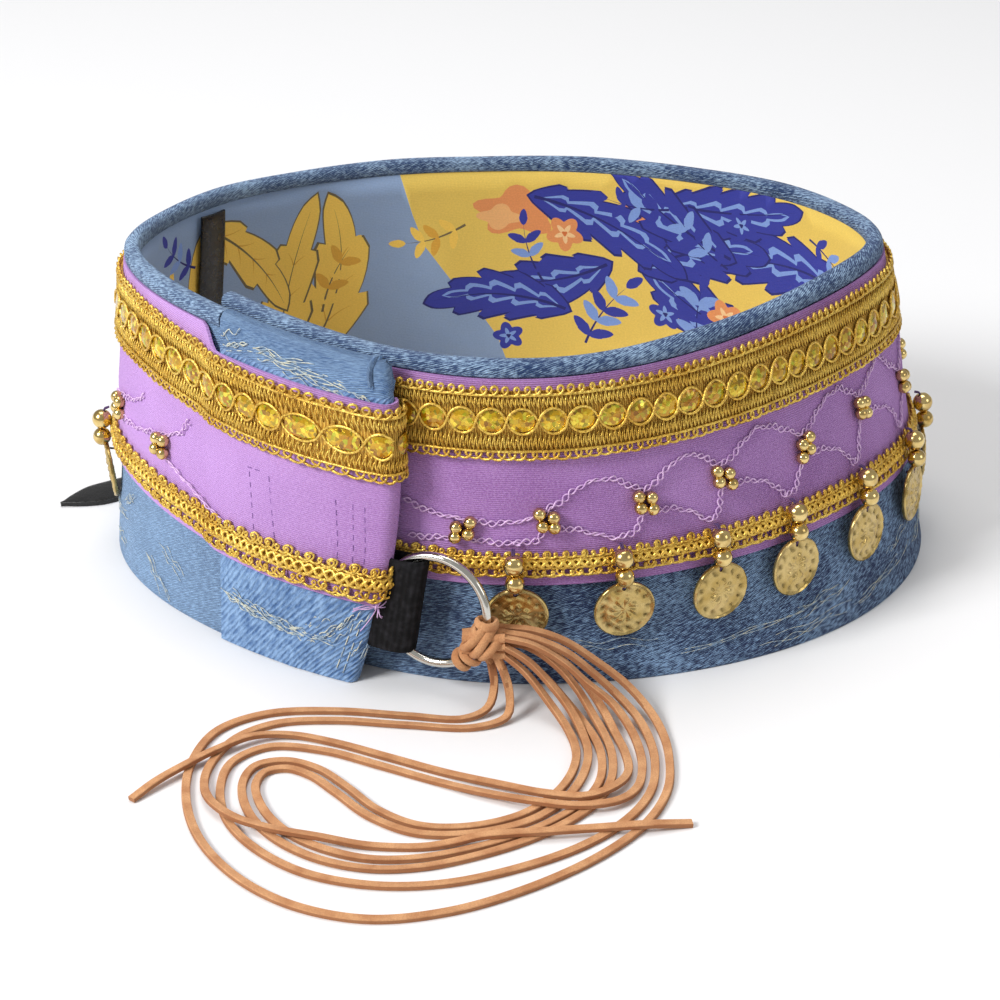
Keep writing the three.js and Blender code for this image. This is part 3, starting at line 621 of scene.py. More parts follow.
def print_leaf(x, y, way, length, breadth, bend, lobes, colours, edge=0.9):
    """A leaf as it is printed: its dark line, its face, its paler middle, and its veins."""
    fill, line, pale = leaf_colours[colours]
    across = math.radians(way)
    printed.append((leaf_shape(x - math.cos(across) * edge, y - math.sin(across) * edge, way,
                               length + 2 * edge, breadth + 2 * edge, bend, lobes)[0], line))
    shape, rib = leaf_shape(x, y, way, length, breadth, bend, lobes)
    printed.append((shape, fill))
    if colours == "gold":
        for place in (0.2, 0.36, 0.52, 0.68):
            foot, heading = rib[int(place * (len(rib) - 1))], way + bend * place
            for side in (-1, 1):
                side_vein = leaf_shape(foot.x, foot.y, heading + side * 26, breadth * 0.62 * (1.1 - place),
                                       1, side * 30, 2)[1]
                printed.append((vein_shape(side_vein, 0.0, 1.0, 0.6), pale))
        printed.append((vein_shape(rib, 0.0, 0.95, 1.1), line))
        return
    step = rib[2] - rib[0]
    middle = leaf_shape(x + step.x, y + step.y, way, length * 0.82, breadth * 0.5, bend * 0.85, lobes, 0.6)[0]
    printed.append((middle, pale))
    printed.append((leaf_shape(x + step.x, y + step.y, way, length * 0.8, breadth * 0.3, bend * 0.85, lobes,
                               0.75)[0], fill))
    printed.append((vein_shape(rib, 0.0, 0.95, 1.3), line))


for x, y, width, height in clouds:
    printed.append((cloud_shape(x, y, width, height, 5), peach))
    printed.append((cloud_shape(x + width * 0.2, y - height * 0.1, width * 0.5, height * 0.5, 4, 1),
                    (244, 184, 120)))
grey_part = [Vector((x, y)) for x, y in ((470, 93), (466, 78), (462, 66), (454, 54), (445, 42), (438, 30),
                                         (434, 16),
                                         (431, 2), (lining_length, 2), (lining_length, 93))]
printed.append((grey_part, grey_ground))
for x, y, way, length, breadth, bend, lobes, colours in big_leaves:
    print_leaf(x, y, way, length, breadth, bend, lobes, colours)
for x, y, way, size, pairs, colours in sprigs:
    fill, line, pale = leaf_colours[colours]
    stem = leaf_shape(x, y, way, size, 1, 30, 3)[1]
    printed.append((vein_shape(stem, 0.0, 1.0, 1.0), line))
    for pair in range(pairs):
        foot = stem[int((pair + 1) / (pairs + 1) * (len(stem) - 1))]
        for side in (-1, 1):
            heading = way + 30 * (pair + 1) / (pairs + 1) + side * 48
            printed.append((leaf_shape(foot.x, foot.y, heading, size * 0.3, size * 0.14, side * 20, 2,
                                       0.1)[0],
                            fill if (pair + side) % 2 else pale))
    printed.append((leaf_shape(stem[-1].x, stem[-1].y, way + 30, size * 0.26, size * 0.13, 10, 2, 0.1)[0],
                    fill))
for x, y, size, colours in flowers:
    fill, line, pale = leaf_colours[colours]
    for petal in range(5):
        printed.append((leaf_shape(x, y, petal * 72 + x, size * 0.62, size * 0.5, 12, 2, 0.08)[0], fill))
    for petal in range(5):
        printed.append((leaf_shape(x, y, petal * 72 + x, size * 0.36, size * 0.16, 0, 2, 0.05)[0], pale))
    printed.append((cloud_shape(x, y, size * 0.2, size * 0.2, 3), line))

# The flat cloth is cut along every printed edge, and then wrapped on the band's inside.
corner_points, cut_edges, shapes = [], [], []
for shape, colour in printed:
    shape = [Vector((min(max(p.x, 0), lining_length), min(max(p.y, lining_low), lining_high))) for p in shape]
    first, count = len(corner_points), len(shape)
    corner_points += shape
    cut_edges += [(first + i, first + (i + 1) % count) for i in range(count)]
    shapes.append((np.array(shape), colour))
columns, rows = 176, 12
for i in range(columns + 1):
    for j in range(rows + 1):
        corner_points.append(Vector((lining_length * i / columns, lining_low + (lining_high - lining_low)
                                     * j / rows)))
cut_points, _, cut_faces, _, _, _ = delaunay_2d_cdt(corner_points, cut_edges, [], 0, 0.01)
middles = np.array([sum((cut_points[i] for i in corners), Vector((0, 0))) / len(corners)
                    for corners in cut_faces])
face_colours = [yellow_ground] * len(cut_faces)
for shape, colour in shapes:
    near = np.nonzero(np.all((middles > shape.min(0)) & (middles < shape.max(0)), axis=1))[0]
    inside = np.zeros(len(near), bool)
    for (ax, ay), (bx, by) in zip(shape, np.roll(shape, -1, axis=0)):
        if ay != by:
            crosses = (middles[near, 1] < ay) != (middles[near, 1] < by)
            inside ^= crosses & (middles[near, 0] < ax + (middles[near, 1] - ay) * (bx - ax) / (by - ay))
    for i in near[inside]:
        face_colours[i] = colour
lining_creases = [
    (372, 46, 84, 40, 9, 0.7), (388, 60, 96, 36, 8, -1.3), (404, 44, 70, 50, 7, 0.6),
    (424, 52, 60, 44, 7, -1.6),
    (443, 40, 62, 50, 8, 0.6), (462, 58, 70, 40, 7, -1.5), (478, 42, 58, 48, 7, 0.6),
    (497, 54, 84, 44, 9, -0.7),
    (516, 44, 90, 40, 9, 0.8), (536, 50, 80, 44, 9, 0.6), (352, 50, 92, 44, 9, -0.8),
    (330, 46, 86, 48, 10, 0.8),
    (300, 52, 94, 40, 9, 0.7), (276, 44, 86, 44, 9, -0.6), (252, 50, 90, 40, 9, 0.7)]
bpy.ops.object.select_all(action="DESELECT")
bpy.ops.mesh.primitive_plane_add(size=1)
lining = bpy.context.object
lining.name = "lining_cloth"
shaped = bmesh.new()
flat_map = shaped.loops.layers.uv.new("UVMap")
colour_map = shaped.loops.layers.float_color.new("print")
placed = []
for point in cut_points:
    turn = min(max(turn_at(point.x, 50), band_start), lining_end)
    placed.append(shaped.verts.new(band_point(turn, point.y, -3.5 + creased(lining_creases, turn, point.y)
                                              * math.sin(math.pi * (point.y - lining_low) / 92))))
for corners, colour in zip(cut_faces, face_colours):
    try:
        face = shaped.faces.new([placed[i] for i in reversed(corners)])
    except ValueError:
        continue
    for loop, corner in zip(face.loops, reversed(corners)):
        loop[flat_map].uv = cut_points[corner] * 0.001
        loop[colour_map] = linear(*colour)
shaped.to_mesh(lining.data)
shaped.free()
thicken(lining, 0.0006)
bpy.ops.object.shade_smooth()

plain_weave = weave_group("plain_weave", 90, 0.0006, 0.8)
lining_finish, tree, shader = new_finish("printed_lining", Roughness=0.75, Sheen_Weight=0.15,
                                         Sheen_Roughness=0.4)
colours = add_node(tree, "ShaderNodeAttribute", attribute_name="print").outputs["Color"]
weave = add_node(tree, "ShaderNodeGroup", node_tree=plain_weave)
shadow = add_node(tree, "ShaderNodeMix", {0: 0.14, 6: colours}, data_type="RGBA", blend_type="MULTIPLY")
tree.links.new(weave.outputs["Light"], shadow.inputs[7])
tree.links.new(shadow.outputs[2], shader.inputs["Base Color"])
emboss(tree, shader, weave.outputs["Height"], 0.3, 0.0001)
finish_piece(lining, lining_finish, replaces=["lining"])

# ---- Rim binding ----
# A folded strip of the same denim over the band's top edge, sewn down on both sides. It is
# soft, so it waves a little along its length.
binding_end = 588
fold = [(93.1, 0.4), (93.4, 0.9), (94.2, 1.15), (95.4, 1.25), (96.5, 1.1), (97.2, 0.55), (97.6, -0.5),
        (97.6, -2),
        (97.3, -3.0), (96.5, -3.65), (95.4, -3.95), (94.4, -4.0), (93.5, -3.9), (93, -3.6)]
binding_waves = [(238, 0.5), (254, -0.4), (268, 0.5), (281, -0.3), (296, 0.6), (312, -0.4), (330, 0.5),
                 (346, -0.5),
                 (365, 0.4), (381, -0.5), (399, 0.4), (416, -0.4), (436, 0.5), (455, -0.5), (470, 0.4),
                 (489, -0.4),
                 (505, 0.5), (524, -0.4), (541, 0.4), (558, -0.5), (575, 0.4)]


def profile_point(profile, share):
    """The height and out a share of the way along a folded cloth's cross-section."""
    place = share * (len(profile) - 1)
    i = min(int(place), len(profile) - 2)
    (low_height, low_out), (high_height, high_out) = profile[i], profile[i + 1]
    return (low_height + (high_height - low_height) * (place - i),
            low_out + (high_out - low_out) * (place - i))


def binding_form(turn, share):
    height, out = profile_point(fold, share)
    wave = sum(rise * math.exp(-((turn - middle) / 7)**2) for middle, rise in binding_waves)
    return height + wave * 0.5 * max(height - 94, 0) / 4, out + wave * 0.25


binding = wrap_cloth("rim_binding_cloth", band_start, binding_end, 300, 26, binding_form, 0.7, 0, girth=13)
finish_piece(binding, denim_finish("binding_denim", linear(28, 56, 100), linear(150, 178, 208), twill,
                                   0.0003, 0.3),
             replaces=["rim_binding"])

# ---- End facing ----
# A patch of paler denim over the outside of the flap. It folds over the flap's top edge and
# back round its end, and it is sewn down with untidy double rows of thick pale thread.
facing_start = 588.6
roll_over = 4.2
facing_edge = [(0.3, 1.7), (20, 1.75), (45, 1.7), (70, 1.7), (88, 1.75), (93, 1.9), (96.4, 1.6), (98, 0.6),
               (98.4, -0.8),
               (98, -2.4), (96.6, -3.7), (94.5, -4.3), (91.6, -4.1)]
facing_creases = [(592, 22, 10, 20, 4, 0.5), (603, 14, 70, 26, 2.5, 0.7), (598, 6, 4, 30, 3, 0.4),
                  (606, 88, 60, 20, 3, 0.4)]


def facing_form(turn, share):
    height, out = profile_point(facing_edge, share)
    return height, out + (creased(facing_creases, turn, height) if out > 0 else 0)


facing = wrap_cloth("end_facing_cloth", facing_start, band_end + roll_over, 60, 96, facing_form, 1.1, 0,
                    girth=108)
finish_piece(facing, pale_denim, replaces=["end_facing"])


def stitched(points, stitch, gap):
    """Separate stitches along a line of (turn, height, out) points: each dips in at both ends."""
    places = [band_point(*point) for point in points]
    made, run = [], 0
    dense = [a.lerp(b, t / 8) for a, b in zip(places, places[1:]) for t in range(8)] + [places[-1]]
    chosen = [dense[0]]
    for before, point in zip(dense, dense[1:]):
        run += (point - before).length * 1000
        if run < stitch:
            chosen.append(point)
        elif run > stitch + gap:
            made.append(chosen)
            chosen, run = [point], 0
    made.append(chosen)
    return [piece for piece in made if len(piece) > 1]


# The sewing on the facing: rows of (turn, height) at its lower edge, its end and its top.
facing_rows = [
    [(590.8, 16.5), (594, 14.6), (598, 13.2), (602, 12.4), (604.5, 12.6), (606, 16), (607, 20)],
    [(591, 15), (595, 13.4), (599, 12.2), (603.4, 11.2), (605.6, 13.4), (607.4, 19)],
    [(592, 14.2), (597, 12.9), (601, 11.6), (604, 12)],
    [(607.4, 4), (607.7, 12), (608, 20)], [(608.4, 3), (608.6, 11), (608.9, 20)],
    [(596, 91.5), (600, 92), (604, 91), (607.5, 89.4)], [(597, 90), (601, 90.4), (605, 89.6), (608, 87)],
    [(589.4, 93), (591, 90), (593, 92.4)], [(590, 88), (594, 90.6), (598, 91.6)],
    [(605, 90), (607.6, 86), (609, 85.4)]]
facing_sewing = []
for row in facing_rows:
    facing_sewing += stitched([(turn, height, 1.95 + creased(facing_creases, turn, height)) for turn,
                               height in row], 3.2, 0.7)
tangles = [(589.6, 16, 12, -3, 6), (594, 14, 16, -2, 6), (599, 12.4, 14, -1, 6), (604, 13, 5, 5, 5),
           (606.6, 17, 4, 5, 4),
           (596, 91.5, 16, 0, 5), (600, 90, 14, -3, 5), (589, 91, 10, 3, 4), (606, 88.6, 7, -2, 4),
           (608.8, 8, 2, 5, 3)]
facing_sewing += loose_yarns(tangles, 1.95, 0.45)
sewing = thread_piece("facing_sewing", facing_sewing, 0.00017)
finish_piece(sewing, yarn_finish)

# ---- Cotton panel ----
# Lilac cotton sewn round the outside, with both long edges under the braids. It is turned
# round the flap's end and sewn down there with two rows, and it puckers softly.
panel_top, panel_top_on_flap, panel_bottom = 93, 86.8, 32
panel_creases = [
    (284, 63, 12, 50, 3.5, 0.45), (292, 58, 24, 40, 3, -0.4), (306, 62, 10, 56, 4, 0.5),
    (318, 50, -8, 44, 3, 0.4),
    (330, 60, 6, 50, 4, -0.45), (344, 55, -12, 44, 3.5, 0.4), (360, 60, 8, 56, 4, 0.5),
    (378, 52, -6, 50, 4, 0.4),
    (396, 61, 10, 48, 3.5, -0.4), (414, 54, 6, 52, 4, 0.5), (432, 60, -10, 44, 3.5, 0.4),
    (450, 52, 8, 54, 4, 0.45),
    (468, 60, -6, 50, 4, 0.4), (486, 54, 12, 48, 3.5, -0.4), (504, 60, -8, 54, 4, 0.5),
    (522, 52, 6, 46, 3.5, 0.4),
    (538, 60, 10, 50, 4, 0.4), (556, 52, -18, 44, 3, 0.5), (574, 56, -12, 36, 3, 0.45),
    (592, 55, 82, 26, 1.8, 0.45),
    (598, 50, 86, 30, 1.8, 0.4), (603, 52, 84, 30, 1.6, -0.4), (607, 50, 88, 34, 1.4, 0.4),
    (268, 46, 14, 30, 3, 0.4)]


def over_facing(turn):
    """How far the panel and braids have stepped up on the facing's edge."""
    return smooth(turn, 584.4, 588.4)


def on_flap(turn):
    """How far along the flap, where the trims sag and the braids are pulled broader."""
    return smooth(turn, 560, 600)


def trim_raise(turn):
    return 1.7 * over_facing(turn)


def trim_sag(turn):
    return 5.5 * on_flap(turn)


def panel_form(turn, share):
    low = panel_bottom - trim_sag(turn)
    high = panel_top + (panel_top_on_flap - panel_top) * over_facing(turn)
    height = low + (high - low) * share
    return height, 1.3 + trim_raise(turn) + creased(panel_creases, turn, height)


panel = wrap_cloth("cotton_panel_cloth", band_start, band_end + roll_over, 460, 36, panel_form, 0.9, 0)
lilac, tree, shader = new_finish("lilac_cotton", Roughness=0.85, Sheen_Weight=0.25, Sheen_Roughness=0.35)
shader.inputs["Sheen Tint"].default_value = linear(226, 190, 250)
weave = add_node(tree, "ShaderNodeGroup", node_tree=plain_weave)
weave.inputs["Fade"].default_value = 0.3
worn = noise(tree, coordinates(tree, "UV"), 22.0, 4.0)
purple = blend_colours(tree, span(tree, worn, 0.35, 0.65), linear(138, 90, 154), linear(166, 120, 184))
purple = blend_colours(tree, span(tree, weave.outputs["Light"], 0.2, 0.9, 0.0, 0.45), purple,
                       linear(198, 158, 214))
# Painted light: it is lighter towards the flap at the left, where the key light falls.
across = add_node(tree, "ShaderNodeSeparateXYZ", {"Vector": coordinates(tree)}).outputs["X"]
purple = blend_colours(tree, span(tree, across, 0.0, -0.1, 0.0, 0.45), purple, linear(216, 174, 240))
tree.links.new(purple, shader.inputs["Base Color"])
emboss(tree, shader, weave.outputs["Height"], 0.6, 0.0002)
finish_piece(panel, lilac, replaces=["cotton_panel"])

panel_rows = [[(594.5, 56), (594.9, 44), (595.3, 31)], [(597.8, 57), (598.2, 44), (598.6, 31)],
              [(604.6, 56), (605, 44), (605.4, 30)], [(606.2, 56), (606.6, 44), (607, 30)],
              [(607.4, 56), (607.8, 44), (608.2, 30)], [(594.2, 57.2), (596.2, 57.4)]]
panel_sewing = []
for row in panel_rows:
    panel_sewing += stitched([(turn, height, 3.05 + creased(panel_creases, turn, height)) for turn,
                              height in row], 2.0, 0.7)
sewing = thread_piece("panel_sewing", panel_sewing, 0.00013)
violet_thread, tree, shader = new_finish("violet_thread", Roughness=0.8)
spun = noise(tree, coordinates(tree), 900.0)
tree.links.new(blend_colours(tree, spun, linear(92, 58, 122), linear(140, 98, 168)),
               shader.inputs["Base Color"])
finish_piece(sewing, violet_thread)

# ---- Sequin braid ----
# A 22 mm metallic braid: small wire loops at both edges, broad bands of upright chain
# threads, and a row of domed sequins in crossed frames. It is sewn over the panel's top.
braid_centre = 81
loop_pitch, sequin_pitch = 2.9, 8.2


def trim_point(distance, level, out, centre, spread=0.0):
    """A point on a braid: how far along, how far above the braid's middle and how far off the wall."""
    turn = turn_at(distance, centre)
    level *= 1 + spread * on_flap(turn)
    return band_point(turn, centre - trim_sag(turn) + level, out + trim_raise(turn))


def gimp_row(first, last, pitch, swing, rise, level, out, centre, steps=12, lift=0.25, spread=0.0, phase=0.0):
    """A cord that curls in loops along a braid."""
    made = []
    for i in range(int((last - first) / pitch * steps) + 1):
        angle = i / steps * math.tau + phase
        uneven = 1 + 0.1 * math.sin(i * 0.37) + 0.08 * math.sin(i * 0.083)
        made.append(trim_point(first + i / steps * pitch - swing * math.sin(angle) * uneven,
                               level + rise * math.cos(angle) * uneven, out + lift * math.sin(angle * 2),
                               centre, spread))
    return made


gold_thread, tree, shader = new_finish("gold_thread", Metallic=0.6, Roughness=0.36)
place = coordinates(tree)
# Fine darker specks in the gold are painted shade in the gaps between the thread's wraps; the same noise also
# roughens it.
gap_shade = noise(tree, place, 1600.0, 2.0)
aged = noise(tree, place, 60.0, 3.0)
gold_colour = blend_colours(tree, span(tree, aged, 0.35, 0.65), linear(226, 182, 74), linear(248, 214, 104))
gold_colour = blend_colours(tree, span(tree, gap_shade, 0.42, 0.7, 0.0, 0.75), gold_colour, linear(134, 94, 34))
tree.links.new(gold_colour, shader.inputs["Base Color"])
emboss(tree, shader, gap_shade, 0.7, 0.0002)

braid_base_finish, tree, shader = new_finish("braid_ground", Metallic=0.3, Roughness=0.5)
flat = coordinates(tree, "UV")
upright = add_node(tree, "ShaderNodeTexWave", {"Vector": flat, "Scale": 420.0, "Distortion": 2.0,
                                               "Detail": 2.0}).outputs["Fac"]
ground = blend_colours(tree, upright, linear(184, 134, 46), linear(240, 196, 88))
tree.links.new(ground, shader.inputs["Base Color"])
emboss(tree, shader, upright, 0.8, 0.0004)


def braid_form(centre, half, out, spread=0.0):
    def form(turn, share):
        level = (share * 2 - 1) * half * (1 + spread * on_flap(turn))
        return centre - trim_sag(turn) + level, out + trim_raise(turn) - 0.25 * abs(share * 2 - 1)
    return form


def row_shift(turn):
    """How far the sequins stand above the braid's middle, as it was pulled in the making."""
    return 0.7 * (1 - smooth(turn, 272, 300)) - 1.2 * smooth(turn, 305, 335) * (1 - smooth(turn, 380, 420))


braid_base = wrap_cloth("sequin_braid_ground", band_start, band_end + 5.4, 340, 6,
                        braid_form(braid_centre, 9.0, 2.3), 0.6, 0)
finish_piece(braid_base, braid_base_finish, replaces=["sequin_braid"])
braid_length = distance_to(band_end + 5.6, braid_centre)
edge_loops = []
for side in (-1, 1):
    edge_loops.append(gimp_row(0, braid_length, loop_pitch, 1.35, 1.2, side * 9.3, 2.9, braid_centre, 12,
                               0.3, phase=side))
    edge_loops.append([trim_point(i * 2, side * 8.1, 3.05 + 0.12 * math.sin(i * 1.3), braid_centre)
                       for i in range(int(braid_length / 2) + 1)])
loops = thread_piece("sequin_braid_loops", edge_loops, 0.00044)
finish_piece(loops, gold_thread)
# The chain bands: upright loops of thread side by side, each a narrow pointed chain stitch.
chain_pitch = 1.2
chains = []
for side in (-1, 1):
    rungs = []
    for i in range(int(braid_length / chain_pitch)):
        level = row_shift(turn_at(i * chain_pitch, braid_centre))
        inner = side * 3.4 + level * 0.8
        for slide, reach, out in ((0.0, 0.0, 2.6), (-0.16, 0.55, 3.1), (0.08, 1.0, 2.75), (0.4, 0.5, 3.0)):
            rungs.append(trim_point((i + slide) * chain_pitch, inner + (side * 7.9 - inner) * reach, out,
                                    braid_centre))
    chains.append(rungs)
chain_band = thread_piece("sequin_braid_chains", chains, 0.0003)
finish_piece(chain_band, gold_thread)

# Two cords cross between the sequins and bow round each of them.
spacing = random.Random(21)
sequin_places, middle = [], 0.5 * sequin_pitch
while middle < braid_length - 3:
    sequin_places.append(middle)
    middle += sequin_pitch * spacing.uniform(0.95, 1.05)
frames = [[], []]
for before, after in zip(sequin_places, sequin_places[1:]):
    half = (after - before) / 2
    for i, line in enumerate(frames):
        flip = (-1)**(len(line) // 12 + i)
        for t in range(12):
            around = t / 12 * math.pi
            bow = math.sin(around)
            level = row_shift(turn_at(before + half * t / 6, braid_centre))
            line.append(trim_point(before - half + half * t / 6, level + flip * 3.7
                                   * math.copysign(abs(bow)**0.6, bow),
                                   3.15 + 0.3 * flip * math.cos(around), braid_centre))
sequin_frames = thread_piece("sequin_frames", frames, 0.00042, 6)
finish_piece(sequin_frames, gold_thread)

# One sequin is a thin dished disc; the row is its copies, each pressed to the wall.
bpy.ops.object.select_all(action="DESELECT")
bpy.ops.mesh.primitive_circle_add(vertices=14, radius=1, fill_type="TRIFAN")
sequin = bpy.context.object
bpy.ops.object.mode_set(mode="EDIT")
bpy.ops.mesh.select_all(action="SELECT")
bpy.ops.mesh.subdivide(number_cuts=1)
bpy.ops.object.mode_set(mode="OBJECT")
disc = [tuple(vertex.co) for vertex in sequin.data.vertices]
disc_faces = [tuple(face.vertices) for face in sequin.data.polygons]
tilts = random.Random(5)
row = bmesh.new()
for middle in sequin_places:
    tilt = tilts.uniform(-0.5, 0.5)
    slope = tilts.uniform(-0.4, 0.4)
    level = row_shift(turn_at(middle, braid_centre))
    placed = []
    for x, y, _ in disc:
        away = math.hypot(x, y)
        square = 1 / max(max(abs(x), abs(y)) * 0.5 + away * 0.5, 1e-6) * away if away else 1
        placed.append(row.verts.new(trim_point(middle + x * square * 3.35, level + y * square * 3.0,
                                               2.95 + 0.5 * (1 - away**2) + tilt * x * 0.3 + slope * y * 0.3
                                               + tilts.uniform(-0.06, 0.06), braid_centre)))
    for corners in disc_faces:
        row.faces.new([placed[i] for i in corners])
row.to_mesh(sequin.data)
row.free()
sequin.name = "sequin_row"
thicken(sequin, 0.00015)
bpy.ops.object.shade_flat()
sequin_finish, tree, shader = new_finish("gold_sequin", Metallic=0.55, Roughness=0.16)
shader.inputs["Coat Weight"].default_value = 0.6
place = coordinates(tree)
tint = noise(tree, place, 70.0, 1.0)
# The facets' colours are painted sparkle: bright yellow cells are painted highlights, dark cells painted
# shade, and green cells painted reflections.
sparkle_facets = add_node(tree, "ShaderNodeTexVoronoi", {"Vector": place, "Scale": 900.0})
cell = add_node(tree, "ShaderNodeSeparateColor", {"Color": sparkle_facets.outputs["Color"]})
amber = blend_colours(tree, span(tree, tint, 0.38, 0.62), linear(178, 120, 6), linear(222, 180, 12))
amber = blend_colours(tree, span(tree, cell.outputs["Red"], 0.55, 0.95, 0.0, 0.8), amber,
                      linear(250, 226, 70))
amber = blend_colours(tree, span(tree, cell.outputs["Green"], 0.7, 1.0, 0.0, 0.6), amber,
                      linear(150, 190, 40))
amber = blend_colours(tree, span(tree, cell.outputs["Blue"], 0.6, 1.0, 0.0, 0.8), amber, linear(112, 62, 4))
tree.links.new(amber, shader.inputs["Base Color"])
emboss(tree, shader, cell.outputs["Red"], 0.7, 0.0003)
finish_piece(sequin, sequin_finish)

# ---- Gimp braid ----
# A narrower plaited gimp over the panel's lower edge: a plait of gold cords with a row of
# curled picots above and below. It is pulled broader on the flap.
gimp_centre = 39
gimp_spread = 0.38
gimp_base = wrap_cloth("gimp_braid_ground", band_start, band_end + 4.6, 340, 3,
                       braid_form(gimp_centre, 1.9, 2.1, gimp_spread), 0.5, 0)
finish_piece(gimp_base, braid_base_finish, replaces=["gimp_braid"])
gimp_length = distance_to(band_end + 4.8, gimp_centre)
# Three bold cords plait along the middle; each goes over one side and under the other.
plait = []
for strand in range(3):
    line = []
    for i in range(int(gimp_length / 0.7)):
        angle = i * 0.7 / 7.2 * math.tau + strand * math.tau / 3
        line.append(trim_point(i * 0.7, 1.25 * math.sin(angle), 2.85 + 0.5 * math.cos(2 * angle),
                               gimp_centre, gimp_spread))
    plait.append(line)
plaited = thread_piece("gimp_plait", plait, 0.00058, 6)
finish_piece(plaited, gold_thread)
picots = []
for side, phase in ((1, 0.0), (-1, 2.4)):
    picots.append(gimp_row(0, gimp_length, 5.2, 2.1, 1.3, side * 2.5, 2.5, gimp_centre, 16, 0.3,
                           gimp_spread, phase))
    picots.append(gimp_row(0, gimp_length, 2.6, 0.95, 0.75, side * 2.7, 2.8, gimp_centre, 10, 0.2,
                           gimp_spread, phase + 0.5))
curls = thread_piece("gimp_picots", picots, 0.00042)
finish_piece(curls, gold_thread)


# ---- Coin drops ----
# Eighteen drops hang from the net along the lower braid: two hollow gold beads and a thin
# stamped coin on a doubled thread. Each swings on its own body, but for the first one,
# which lies behind the ring and moves with the belt.
coin_count, coin_first_turn, coin_pitch = 18, 268.9, 32.2
front_pitches = [30.4, 29.2, 26.2, 30.6, 33.2, 33.4]
hang_height = 43.6
coin_lean = 12
coin_down, coin_out = 20, 3


def drop_turns():
    turns, turn, run = [coin_first_turn], coin_first_turn, 0
    while len(turns) < coin_count:
        here = plan_point(hem_plan, turn)
        turn += 0.05
        run += (plan_point(hem_plan, turn) - here).length
        pitch = front_pitches[len(turns) - 1] if len(turns) <= len(front_pitches) else coin_pitch
        if run >= pitch:
            turns.append(turn)
            run -= pitch
    return turns


def drop_frame(turn):
    """The place of a drop: X along the wall, Y into it, Z up it, at the thread's knot on the net."""
    middle, _, outwards = wall_axes(turn, hang_height)
    up = (wall_axes(turn, band_height)[0] - wall_axes(turn, 0)[0]).normalized()
    out = (outwards - up * outwards.dot(up)).normalized()
    along = (-out).cross(up).normalized()
    origin = middle + outwards * lap_rise * smooth(turn, lap_start, lap_full)
    return Matrix((along, -out, up)).transposed().to_4x4(), origin


# The coin: a profile spun into a disc with a raised rim, then struck with a ring of dimples,
# a ring of beads and a plain eight-petalled flower.
bpy.ops.object.select_all(action="DESELECT")
bpy.ops.mesh.primitive_plane_add(size=1)
coin = bpy.context.object
coin.name = "coin"
radii = [0, 0.8, 1.6, 2.4, 3.2, 3.8, 4.4, 5.0, 5.6, 6.1, 6.6, 7.1, 7.6, 8.0, 8.3, 8.55, 8.8, 8.95]
back_radii = [8.9, 8.4, 7.8, 6.5, 5, 3.2, 1.5, 0]
coin_half, coin_edge = 0.42, 0.3
profile = ([(r, coin_half) for r in radii] + [(9.0, coin_edge), (9.0, -coin_edge)]
           + [(r, -coin_half) for r in back_radii])
shaped = bmesh.new()
line = [shaped.verts.new((r, 0, z)) for r, z in profile]
edges = [shaped.edges.new(pair) for pair in zip(line, line[1:])]
bmesh.ops.spin(shaped, geom=line + edges, cent=(0, 0, 0), axis=(0, 0, 1), angle=math.tau, steps=64,
               use_duplicate=False)
bmesh.ops.remove_doubles(shaped, verts=shaped.verts, dist=0.001)
bmesh.ops.recalc_face_normals(shaped, faces=shaped.faces)
for vertex in shaped.verts:
    away, around = math.hypot(vertex.co.x, vertex.co.y), math.atan2(vertex.co.y, vertex.co.x)
    if away > 8.97:
        continue
    rim = 0.4 * math.exp(-((away - 8.5) / 0.34)**2)
    dimples = -0.6 * math.exp(-((away - 6.8) / 0.6)**2) * max(math.cos(13 * around), 0)**2
    ring = 0.34 * math.exp(-((away - 5.3) / 0.32)**2)
    petal = 0.15 + 0.85 * abs(math.cos(4 * around + 0.4 * away))**1.5
    petals = 0.8 * math.exp(-((away - 3.0) / 1.2)**2) * petal
    boss = 0.5 * math.exp(-(away / 0.8)**2)
    uneven = 0.12 * math.sin(vertex.co.x * 1.9 + 1) * math.sin(vertex.co.y * 2.3)
    side = 1 if vertex.co.z > 0 else -0.6
    vertex.co.z += side * (rim + dimples + ring + petals + boss + uneven)
shaped.to_mesh(coin.data)
shaped.free()
# The hole for the thread is punched near the rim.
bpy.ops.mesh.primitive_cylinder_add(vertices=12, radius=0.75, depth=4, location=(0, 7.1, 0))
punch = bpy.context.object
bpy.context.view_layer.objects.active = coin
punched = coin.modifiers.new("hole", "BOOLEAN")
punched.object = punch
punched.operation = "DIFFERENCE"
punched.solver = "EXACT"
bpy.ops.object.modifier_apply(modifier="hole")
bpy.data.objects.remove(punch)
lean = Matrix.Translation((0, -coin_out, -coin_down)) @ Matrix.Rotation(math.radians(90 + coin_lean), 4, "X")
coin.data.transform(lean)

olive_gold, tree, shader = new_finish("antique_coin", Metallic=0.85, Roughness=0.28)
place = coordinates(tree)
blotches = noise(tree, place, 190.0, 5.0)
